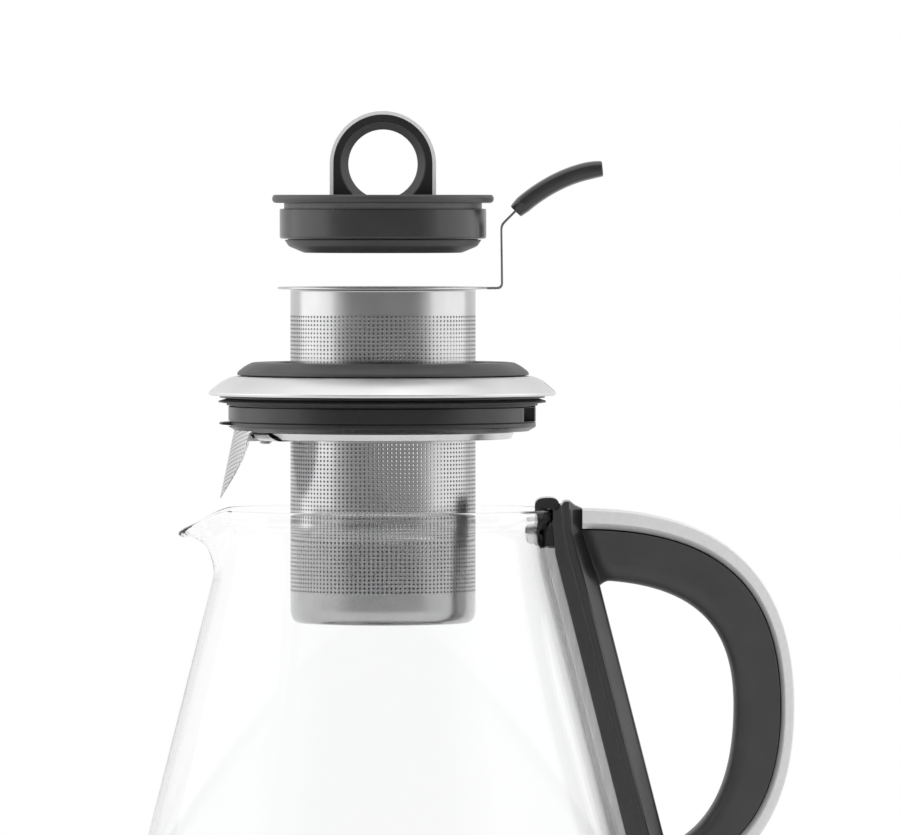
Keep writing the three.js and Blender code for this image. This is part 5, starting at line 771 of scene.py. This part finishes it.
grip = between_edges("handle_grip_moulding", grip_inner, grip_outer, grip_section, crease=50, necked=0.42)
fitted(grip, "jug", "grey_plastic", soft_plastic, "handle_grip")

# Silver lacquer: a bright, even coat with very fine metal flake and a satin gloss.
silver = finish(
    "silver_lacquer", {"Metallic": 0.15}, (700, 1), (0.75, 0.75, 0.755), (0.79, 0.79, 0.79), (90,), 0.38, 0.03,
)
trim_section = rounded([
    (-3.4, -7.7, 0.3), (-1.2, -9.5, 0.5), (3.4, -9.5, 0.9), (3.4, 9.5, 0.9), (-1.2, 9.5, 0.5), (-3.4, 7.7, 0.3),
], steps=4) / (3.4, 1)
trim_inner, trim_outer = handle_edge(TRIM_SIDE, TRIM_TOP, INNER_PULLS), handle_edge(0, 0, TRIM_PULLS)
trim = between_edges("handle_trim_strip", trim_inner, trim_outer, trim_section)
fitted(trim, "jug", "silver_plastic", silver, "handle_trim")

# Handle screws: two that lie side by side. They go from the strap's front into the foot of the grip, and the
# steel spine covers their heads.

seats = [(SCREW_SEAT, across, SCREW_HEIGHT) for across in (-SCREW_SPREAD, SCREW_SPREAD)]
screws("grip_screw", seats, 12, "jug", "handle_screw", lying=True)

# Rim hook: a glossy black clip that goes over the glass rim at the handle. Its two legs hold the rim, and its
# cap is a round nose.

HOOK_WIDTH = 16.0
PIN_HEIGHT = 178.4
glossy_black = moulded_plastic("glossy_black_plastic", (0.012, 0.012, 0.0125), (0.016, 0.016, 0.0165), 0.14, 0.0012)
hook = formed("rim_clip", *prism([
    (61.8, 173, 0.6), (61.8, 190.1, 3.4), (53.1, 190.1, 4.4), (53.1, 184.6, 0.5), (53.7, 183.4, 0.5), (53.7, 173, 0.9),
], HOOK_WIDTH))
rim_slot = turned([
    (54.95, 172), (57.45, 172), (57.45, 177.8), (60.25, 182.5), (60.25, 186.05), (57.75, 186.05), (57.75, 182.5),
    (54.95, 177.8),
], steps=288)
pin_hole = laid("x", drill(2.2, 0, 6), (49, 0, PIN_HEIGHT))
carve(hook, rim_slot, pin_hole)
fitted(bevelled(hook, 0.45), "jug", "black_plastic", glossy_black, "rim_hook")

# Clip pad: a clear silicone buffer on the hook's inner face that the collar pushes against, held by a small
# steel pin whose head stands a little proud.

clear_rubber = finish(
    "clear_silicone", {"IOR": 1.41, "Transmission Weight": 0.85}, (120,), (0.93, 0.93, 0.93), (0.98, 0.98, 0.98),
    (200,), 0.18, 0.04, (900,), 0.01,
)
pad = formed("clip_buffer", *prism([(50.4, 174, 1.2), (53.5, 174, 0.2), (53.5, 182.8, 0.2), (50.4, 182.8, 1.2)], 13))
carve(pad, pin_hole)
fitted(bevelled(pad, 0.4), "jug", "clear_silicone", clear_rubber, "clip_pad")
pin = turned(rounded([(0, 49.8, 0), (1.9, 49.8, 0.7), (1.9, 54.1, 0.2), (0, 54.1, 0)]), steps=40)
fitted(formed("clip_pin", *laid("x", pin, (0, 0, PIN_HEIGHT))), "jug", "steel", screw_steel, "clip_screw")

# Switch pin and lever: a steel pin across the snout carries a graphite lever, whose paddle stands out under the
# handle with three ribs for the finger.

PIVOT = (99, 0, SWITCH_HEIGHT)
BARREL_RADIUS = 3.2

pivot = turned(rounded([(0, -9.7, 0), (1.3, -9.7, 0.3), (1.3, 9.7, 0.3), (0, 9.7, 0)]), steps=32)
fitted(formed("lever_pivot", *laid("y", pivot, PIVOT)), "jug", "steel", screw_steel, "switch_pin")
turn = np.linspace(math.radians(43), math.radians(317), 18)
barrel = [PIVOT[0] + BARREL_RADIUS * np.cos(turn), SWITCH_HEIGHT + BARREL_RADIUS * np.sin(turn), 0 * turn]
paddle = np.array([
    (106, 34.8, 1), (124, 32.7, 1), (124, 35.3, 1), (122, 35.75, 0.1), (121.7, 36.3, 0.2), (121.0, 36.4, 0.2),
    (120.7, 35.9, 0.1), (119, 36.1, 0.1), (118.7, 36.7, 0.2), (118.0, 36.8, 0.2), (117.7, 36.25, 0.1),
    (116, 36.4, 0.1), (115.7, 37.0, 0.2), (115.0, 37.1, 0.2), (114.7, 36.6, 0.1), (106, 39.2, 1),
])
lever = formed("switch_paddle", *prism(np.concatenate([np.stack(barrel, axis=1), paddle]), 13.8, steps=3))
carve(lever, laid("y", drill(1.6, -8, 8), PIVOT))
fitted(bevelled(lever, 0.4, angle=60), "switch_lever", "grey_plastic", grey_plastic, "switch_lever")

# Collar top ring: the graphite ring round the mouth, with a flat top and rounded shoulder. A slot towards the
# handle lets the infuser's strap down.

COLLAR_TOP = 237.3
INFUSER_SLOT = block((0, -5.1, COLLAR_TOP - 19.3), (43.1, 5.1, COLLAR_TOP + 4))

ring = lathe("mouth_ring", [
    (37.3, -4.4, 0.2), (51.1, -4.4, 0.3), (50.9, -3.3, 0.8), (48.3, -1.3, 0.9), (45.8, 0, 1), (37.3, 0, 0.7),
], COLLAR_TOP)
carve(ring, INFUSER_SLOT)
fitted(ring, "collar", "grey_plastic", soft_plastic, "collar_top_ring")

# Dome: a pressed and polished steel skirt that spreads over the jug's rim, with its edge hemmed inwards. It is cut
# out round the hook.

HOOK_ROOM = block((49.2, -8.6, COLLAR_TOP - 30), (70, 8.6, COLLAR_TOP - 7.1))
dome_steel = turned_steel("polished_steel", (0.7, 0.7, 0.705), (0.76, 0.76, 0.76), 0.46, 3000, 0.0006)
dome = lathe("steel_dome", [
    (49.2, -4.7, 0.2), (52.8, -4.9, 1.8), (56, -6.4, 1.6), (58.6, -8.2, 1.6), (61.1, -10.5, 0.4), (60.8, -11.5, 0.4),
    (57.4, -11.5, 0.3), (57.4, -10.8, 0.3), (59.6, -10.6, 0.2), (57.6, -8.9, 1.2), (55.4, -7.3, 1.4),
    (52.5, -5.8, 1.6), (49.2, -5.5, 0.2),
], COLLAR_TOP, steps=224, corner_steps=8)
carve(dome, HOOK_ROOM)
fitted(dome, "collar", "steel", dome_steel, "collar_dome")

# Collar body: the black moulding inside the dome. Its lip shows under the dome, the gasket sits in its groove,
# and its lower wall goes down into the jug's mouth.

body = lathe("collar_moulding", [
    (37.3, -4.7, 0.2), (48.9, -4.7, 0.2), (48.1, -5.8, 0.3), (51.8, -6.3, 1), (54.9, -8.0, 1), (56.2, -9.6, 0.6),
    (56.3, -11.65, 0.2), (57.2, -11.75, 0.1), (57.2, -12.3, 0.2), (52.3, -12.3, 0), (52.3, -15.3, 0),
    (54.1, -15.3, 0.4), (54.1, -20.5, 0.1), (53.7, -20.75, 0.1), (54.1, -21, 0.1), (54.1, -22.4, 0.4),
    (51.4, -24, 0.5), (33.7, -24, 0.3), (33.7, -19.3, 0.3), (37.3, -19.3, 0.3),
], COLLAR_TOP, steps=192)
low, high = COLLAR_TOP - 22.4, COLLAR_TOP - 20.3
sector = math.pi + np.linspace(-0.206, 0.206, 25)[:, None]
seal_room = capped(swept([(51.4, low), (60, low), (60, high), (51.4, high)], sector))
pockets = [
    block((49.2, near, COLLAR_TOP - 20.4), (53, far, COLLAR_TOP - 15.6)) for near, far in ((-54, -10), (10, 54))
]
carve(body, INFUSER_SLOT, HOOK_ROOM, *pockets, seal_room)
fitted(body, "collar", "black_plastic", black_plastic, "collar_body")

# Gasket: a ring of black silicone in the collar's groove, whose thin fin wipes the glass neck and holds the
# collar in it.

gasket = lathe("collar_wiper", [
    (52.6, -15, 0.2), (54.7, -15, 0.2), (54.7, -14.3, 0.3), (57.6, -13.9, 0.1), (57.6, -13.5, 0.1), (54.7, -12.6, 0.6),
    (52.6, -12.6, 0.2),
], COLLAR_TOP, steps=192)
carve(gasket, HOOK_ROOM)
fitted(gasket, "collar", "silicone", silicone, "collar_gasket")

# Spout seal: a tongue of black silicone that lies in the collar's lower wall and closes the spout's root until
# the kettle pours.

low, high = COLLAR_TOP - 22.1, COLLAR_TOP - 20.6
line = rounded([(51.7, low, 0.2), (57.3, low + 0.5, 0.3), (57.3, high - 0.4, 0.3), (51.7, high, 0.2)])
sector = math.pi + np.linspace(-0.2, 0.2, 33)[:, None]
tongue = formed("spout_tongue", *capped(swept(line, sector)))
fitted(tongue, "collar", "silicone", silicone, "spout_seal")

# Pan: a flat pressed steel ring with a rolled lip, held under the collar body by four small screws. It has a gap
# behind the spout.

PAN_SCREW_CIRCLE = 39.6
pan = lathe("under_pan", [
    (34, -24.3, 0.2), (34, -25.3, 0.2), (44.4, -25.3, 0.3), (43.8, -26.7, 0.2), (44.8, -26.7, 0.2), (46, -24.3, 0.3),
], COLLAR_TOP)
wedge = np.array([
    [(0, 0, height), (-70, -70 * math.tan(opening), height), (-70, 70 * math.tan(opening), height)]
    for height, opening in ((COLLAR_TOP - 24, math.radians(32)), (COLLAR_TOP - 28, math.radians(39)))
])
carve(pan, capped(wedge))
fitted(pan, "collar", "steel", satin_steel, "collar_pan")
seats = around(4, PAN_SCREW_CIRCLE, COLLAR_TOP - 25.6, math.pi / 4)
screws("pan_screw", seats, 7, "collar", "collar_screw")

# Spout strainer: a tongue of thin steel sheet, punched all over and curved to the neck, that hangs behind the
# spout and catches leaves. It narrows to a rounded tip.

STRAINER_TOP = COLLAR_TOP - 24.3
STRAINER_DROP = 23.4
STRAINER_HALF_WIDTH = 24.6
STRAINER_RADIUS = 52.2
STRAINER_FLARE = 4.9
STRAINER_TURN = math.radians(12)


def perforated(surface, across, down, wall, sides=8, hole_share=0.56):
    """A thin sheet of square cells, each with a round hole in its middle. The surface turns distances across and
    down into points and outward normals. The back lies a wall's thickness behind the front, and strips close the
    holes and the sheet's four edges."""
    columns, rows = len(across) - 1, len(down) - 1
    corner_points, corner_normals = surface(*np.meshgrid(across, down))
    turn = math.pi * 1.25 + np.arange(sides) * 2 * math.pi / sides
    middle_across, middle_down = np.meshgrid((across[1:] + across[:-1]) / 2, (down[1:] + down[:-1]) / 2)
    size = hole_share * min(across[1] - across[0], down[1] - down[0]) / 2
    hole_points, hole_normals = surface(
        middle_across[..., None] + size * np.cos(turn), middle_down[..., None] + size * np.sin(turn)
    )
    front = np.concatenate([corner_points.reshape(-1, 3), hole_points.reshape(-1, 3)])
    normals = np.concatenate([corner_normals.reshape(-1, 3), hole_normals.reshape(-1, 3)])
    behind = len(front)
    corner = woven(rows + 1, columns + 1, False, False)[:, [0, 3, 2, 1]]
    hole = (rows + 1) * (columns + 1) + np.arange(rows * columns)[:, None] * sides + np.arange(sides)
    faces = []
    for quarter in range(4):
        ends = corner[:, [quarter, (quarter + 1) % 4]]
        arc = hole[:, (np.arange(sides // 4 + 1) + quarter * sides // 4) % sides]
        face = np.concatenate([ends, arc[:, ::-1]], axis=1)
        faces += face.tolist() + (face[:, ::-1] + behind).tolist()
    beside = np.roll(hole, -1, axis=1)
    faces += np.stack([hole, beside, beside + behind, hole + behind], axis=-1).reshape(-1, 4).tolist()
    index = np.arange((rows + 1) * (columns + 1)).reshape(rows + 1, columns + 1)
    border = np.concatenate([index[0], index[1:, -1], index[-1, -2::-1], index[-2:0:-1, 0]])
    ahead = np.roll(border, -1)
    faces += np.stack([border, ahead, ahead + behind, border + behind], axis=-1).tolist()
    return np.concatenate([front, front - normals * wall]), faces


def strainer_surface(along, below):
    """A cone's wall behind the spout: the radius grows on the way down, and the angle is the distance over it. The
    rows of holes run a little askew, so both distances are turned first."""
    sideways = along * math.cos(STRAINER_TURN) - below * math.sin(STRAINER_TURN)
    down = along * math.sin(STRAINER_TURN) + below * math.cos(STRAINER_TURN)
    radius, angle = STRAINER_RADIUS + STRAINER_FLARE * down / STRAINER_DROP, math.pi - sideways / STRAINER_RADIUS
    lean = math.atan2(STRAINER_FLARE, STRAINER_DROP)
    return round_axis(radius, angle, STRAINER_TOP - down), round_axis(math.cos(lean), angle, math.sin(lean))


sieve_steel = turned_steel("bright_punched_sheet", (0.66, 0.66, 0.67), (0.74, 0.74, 0.74), 0.3, 2200, 0.0008)
sheet = perforated(strainer_surface, np.linspace(-32, 36, 49), np.linspace(-8, 32, 29), 0.3, hole_share=0.62)
strainer = formed("spout_sieve", *sheet)
# The tongue's outline lies its drop times the root of 1 - (share of the half width)^1.7 below its top.
outline = np.linspace(-STRAINER_HALF_WIDTH, STRAINER_HALF_WIDTH, 61)
foot = STRAINER_DROP * np.sqrt(1 - (np.abs(outline) / STRAINER_HALF_WIDTH) ** 1.7)
edge = (STRAINER_RADIUS + STRAINER_FLARE * foot / STRAINER_DROP) * np.sin(outline / STRAINER_RADIUS)
top = np.array([(26, STRAINER_TOP + 1), (-26, STRAINER_TOP + 1)])
profile = np.concatenate([np.stack([edge, STRAINER_TOP - foot], axis=1), top])
cutter = np.stack([np.insert(profile, 0, reach, axis=1) for reach in (-62, -44)])
carve(strainer, capped(cutter), keep=True)
fitted(strainer, "collar", "brushed_steel", sieve_steel, "spout_strainer")

# Strainer bracket: a bent steel tab and a curved clamp that lie in a gap of the pan, riveted together, and hold the
# strainer's top edge.


def lifted(outline, height):
    """A profile moved up by a height, its rounds kept."""
    return np.asarray(outline, float) + (0, height, 0)


bracket = formed("sieve_bracket", *prism(lifted([
    (-40, -26.4, 0.1), (-46.2, -26.4, 0.1), (-46.2, -24.9, 0.3), (-50.9, -24.9, 0.3), (-50.9, -26.2, 0.2),
    (-47.4, -27.4, 1.2), (-40, -27.4, 0.3),
], COLLAR_TOP), 18))
carve(bracket, turned([(51.2, 209), (55, 209), (55, 214), (51.2, 214)]))
fitted(bevelled(bracket, 0.2), "collar", "steel", satin_steel, "strainer_bracket")
clamp_line = rounded(lifted([
    (37.6, -24.1, 0.3), (46, -24.1, 0.5), (46.6, -25.5, 1), (44.6, -27.2, 1.2), (38.4, -27.2, 0.8), (37.6, -25.9, 0.3),
], COLLAR_TOP))
half_spread = np.radians(30 + 1.7 * (COLLAR_TOP - 24.1 - clamp_line[:, 1]))
sector = math.pi + np.linspace(-1, 1, 41)[:, None] * half_spread
clamp = formed("sieve_clamp", *capped(swept(clamp_line, sector)))
fitted(bevelled(clamp, 0.25), "collar", "steel", satin_steel, "strainer_bracket")
rivet = turned(rounded(lifted([
    (0, -28.5, 0), (1.4, -28.5, 0.5), (2.2, -27.8, 0.3), (1.2, -27.8, 0), (1.2, -25.4, 0.2), (0, -25.4, 0),
], COLLAR_TOP)), steps=32)
places = [(-41, side, 0) for side in (-5, 5)]
placed("sieve_rivet", rivet, places, "collar", "steel", screw_steel, "strainer_rivet")

# Infuser basket: a drawn steel cup that hangs by its rim in the collar. Its wall is punched all over with small
# round holes, below a plain band. The two halves of the wall meet at a fine seam on each side.

INFUSER_TOP = 263.7
BASKET_RADIUS = 32.4
BASKET_WALL = 0.6
BASKET_DEPTH = 117.6
BAND_DEPTH = 9.6
PUNCHED_DEPTH = 97.2
FLOOR_ROUND = 7
FLOOR_PITCH = 3.1


def basket_surface(along, down):
    """The basket's round wall: the angle is the distance along over the radius, and down is down."""
    angle = along / BASKET_RADIUS
    return round_axis(BASKET_RADIUS, angle, INFUSER_TOP - BAND_DEPTH - down), round_axis(1, angle, 0)


fine_sheet = turned_steel("punched_steel_sheet", (0.46, 0.46, 0.465), (0.52, 0.52, 0.52), 0.24, 2200, 0.0008)
half_way = math.pi * BASKET_RADIUS
down = np.linspace(0, PUNCHED_DEPTH, 69)
for number, start in enumerate((0, half_way), 1):
    wall = perforated(basket_surface, start + np.linspace(0, half_way, 66), down, BASKET_WALL)
    half = formed(f"basket_wall_{number}", *wall)
    fitted(half, "infuser", "brushed_steel", fine_sheet, "infuser_basket")
drawn_steel = turned_steel("drawn_steel", (0.47, 0.47, 0.475), (0.53, 0.53, 0.53), 0.22, 2600, 0.0008)
inside = BASKET_RADIUS - BASKET_WALL
rim_band = lathe("basket_rim", [
    (BASKET_RADIUS, -BAND_DEPTH, 0), (BASKET_RADIUS, -0.8, 0.8), (36.9, -0.8, 0.35), (36.9, 0, 0.35),
    (inside, 0, 1.2), (inside, -BAND_DEPTH, 0),
], INFUSER_TOP, steps=224)
fitted(rim_band, "infuser", "brushed_steel", drawn_steel, "infuser_basket")
seam, bottom = -BAND_DEPTH - PUNCHED_DEPTH, -BASKET_DEPTH
floor_cup = lathe("basket_floor", [
    (0, bottom, 0), (BASKET_RADIUS - FLOOR_ROUND, bottom, 0), (BASKET_RADIUS, bottom, FLOOR_ROUND),
    (BASKET_RADIUS, seam, 0), (inside, seam, 0), (inside, bottom + BASKET_WALL, FLOOR_ROUND - BASKET_WALL),
    (BASKET_RADIUS - FLOOR_ROUND, bottom + BASKET_WALL, 0), (0, bottom + BASKET_WALL, 0),
], INFUSER_TOP, steps=224, corner_steps=10)
drills = np.concatenate([around(6 * row, FLOOR_PITCH * row, INFUSER_TOP) for row in range(1, 8)])
drill_points, drill_faces = drill(0.6, -119, -116, steps=8)
all_points = drill_points[None] + drills[:, None]
all_faces = np.array(drill_faces)[None] + (np.arange(len(drills)) * len(drill_points))[:, None, None]
carve(floor_cup, (all_points.reshape(-1, 3), all_faces.reshape(-1, 4).tolist()))
fitted(floor_cup, "infuser", "brushed_steel", drawn_steel, "infuser_basket")

# Infuser strap: a flat steel strip welded to the rim. It runs out, turns straight up and then slants into the
# grip.

strap_steel = brushed_strip("brushed_tab_steel", (0.42, 0.42, 0.43), (0.5, 0.5, 0.5), 0.16, (1, 1, 0.05))
tab = formed("infuser_tab", *prism(lifted([
    (36.4, -0.85, 0.1), (42.05, -0.85, 2.2), (41.75, 21.32, 1.6), (52.95, 32.49, 0.1), (52.3, 33.11, 0.1),
    (41.05, 21.78, 1.6), (41.25, 0.05, 1.3), (36.4, -0.05, 0.1),
], INFUSER_TOP), 9), crease=40)
fitted(bevelled(tab, 0.15), "infuser", "steel", strap_steel, "infuser_strap")

# Infuser grip: a curved finger grip moulded over the end of the strip, in graphite plastic. It follows a cubic and
# thins a little towards both ends.

GRIP_HALF_WIDTH = 6.5
GRIP_HALF_HEIGHT = 3.15
GRIP_ROWS = 48
GRIP_SIDES = 40
GRIP_SQUARENESS = 0.6

start = np.array([46.4, 26.3])
slant = np.array([4.6, 4.8]) / math.hypot(4.6, 4.8)
t = np.linspace(0, 1, GRIP_ROWS)
centre = cubic([start, start + slant * 6.82, start + (16.6, 13.9), start + (30.4, 15)], t)
ahead = np.gradient(centre, axis=0)
ahead /= np.linalg.norm(ahead, axis=1, keepdims=True)
taper = 1 - 0.14 * np.clip((t - 0.85) / 0.15, 0, 1) ** 2 - 0.18 * np.clip((0.15 - t) / 0.15, 0, 1)
# The section lies between an oval and a square: cos and sin, each pushed out by a power, signs kept.
turn = (np.arange(GRIP_SIDES) + 0.5) * 2 * math.pi / GRIP_SIDES
across, up = (np.sign(wave) * np.abs(wave) ** GRIP_SQUARENESS for wave in (np.cos(turn), np.sin(turn)))
rise, breadth = up * GRIP_HALF_HEIGHT * taper[:, None], across * GRIP_HALF_WIDTH * taper[:, None]
reach, height = centre[:, :1] - ahead[:, 1:] * rise, centre[:, 1:] + ahead[:, :1] * rise + INFUSER_TOP
grip_points = np.stack([reach, breadth, height], axis=-1)
finger_grip = formed("infuser_finger_grip", *capped(grip_points), crease=55)
fitted(bevelled(finger_grip, 1.1, angle=60), "infuser", "grey_plastic", grey_plastic, "infuser_grip")

# Lid: a flat cap with a rounded edge over a silicone neck, a plain ring below it that fits the collar's mouth, and
# a cup that closes it from underneath.

LID_BASE = 293.0

grey_silicone = soft_rubber("grey_silicone", (0.16, 0.16, 0.165), 0.45)
for name, node, slot, material, profile in (
    ("lid_flange", "lid_cap", "grey_plastic", soft_plastic,
     [(0, 0, 0), (38.2, 0, 1), (38.9, 1.3, 0.7), (38.4, 2.9, 0.7), (0, 2.9, 0)]),
    ("lid_seal", "lid_neck", "silicone", grey_silicone,
     [(31, -2.2, 0.3), (34.6, -2.2, 0.3), (34.6, 0.3, 0.3), (31, 0.3, 0.3)]),
    ("lid_skirt", "lid_ring", "grey_plastic", grey_plastic,
     [(33.55, -12.5, 0.3), (36.15, -12.5, 0.9), (36.15, -2, 0.5), (33.55, -2, 0.3)]),
    ("lid_cup_moulding", "lid_cup", "black_plastic", soft_plastic,
     [(0, -17.4, 0), (27.6, -17.4, 0.8), (33, -15.1, 0.7), (34.5, -12.8, 0.4), (33.25, -12.8, 0), (33.25, -9.8, 0.3),
      (31.25, -9.8, 0.3), (25.6, -15.4, 1), (0, -15.4, 0)]),
):
    fitted(lathe(name, profile, LID_BASE, steps=192), "lid", slot, material, node)

# Lid arch: the ring to lift the lid by, a round-headed arch on straight legs. A black frame carries a graphite tunnel
# round the hole, its colour painted paler than the graphite to stand in for the light on its inner wall, and a thin
# silver strip is bent round the outside. Two screws come up through the cap.

ARCH_CENTRE = LID_BASE + 13.6
ARCH_FOOT = LID_BASE + 2.4
ARCH_WIDTH = 12
FRAME_OUTER = 17.4
FRAME_INNER = 14.9


def arc(radius, angles):
    """Points (x, z) of the arch's circles, at a radius and angles."""
    return np.stack([radius * np.cos(angles), ARCH_CENTRE + radius * np.sin(angles)], axis=1)


# The frame's outline goes up an outer leg, round the head and down, then back round the hole.
opening = math.asin((ARCH_CENTRE - ARCH_FOOT) / FRAME_INNER)
outside = arc(FRAME_OUTER, np.linspace(0, math.pi, 64))
hole = arc(FRAME_INNER, np.linspace(math.pi + opening, -opening, 88))
outline = np.concatenate([[(FRAME_OUTER, ARCH_FOOT)], outside, [(-FRAME_OUTER, ARCH_FOOT)], hole])
arch_frame = formed("lid_arch_frame", *slab(outline, ARCH_WIDTH))
fitted(bevelled(arch_frame, 0.5), "lid", "grey_plastic", black_plastic, "lid_arch")
tunnel_line = rounded([(14.9, -5.5, 0.3), (12.1, -3.6, 0.4), (12.1, 3.6, 0.4), (14.9, 5.5, 0.3)])
turn = np.linspace(math.pi * 1.36, -math.pi * 0.36, 110)[:, None]
tunnel_points = swept(tunnel_line, turn)[..., [0, 2, 1]] + (0, 0, ARCH_CENTRE)
tunnel = formed("lid_arch_tunnel", *capped(tunnel_points))
carve(tunnel, block((-20, -8, LID_BASE - 6), (20, 8, ARCH_FOOT)))
# The tunnel is the same soft-touch graphite as the lid's other mouldings. Its colour is drawn paler here as painted
# light, standing in for the light that falls on its inner wall.
painted_lit_tunnel_plastic = moulded_plastic("pale_graphite_plastic", (0.07, 0.07, 0.071), (0.085, 0.085, 0.086), 0.4, 0.004)
fitted(tunnel, "lid", "grey_plastic", painted_lit_tunnel_plastic, "lid_arch")
turn = np.linspace(0, math.pi, 120)
edges = [
    np.concatenate([[(radius, ARCH_FOOT)], arc(radius, turn), [(-radius, ARCH_FOOT)]]) for radius in (18.6, 17.3)
]
strip = formed("lid_arch_strip", *slab(np.concatenate([edges[0], edges[1][::-1]]), ARCH_WIDTH))
fitted(bevelled(strip, 0.15), "lid", "silver_plastic", silver, "lid_arch_trim")
screws("arch_screw", [(reach, 0, LID_BASE - 0.3) for reach in (-13, 13)], 9, "lid", "lid_screw")
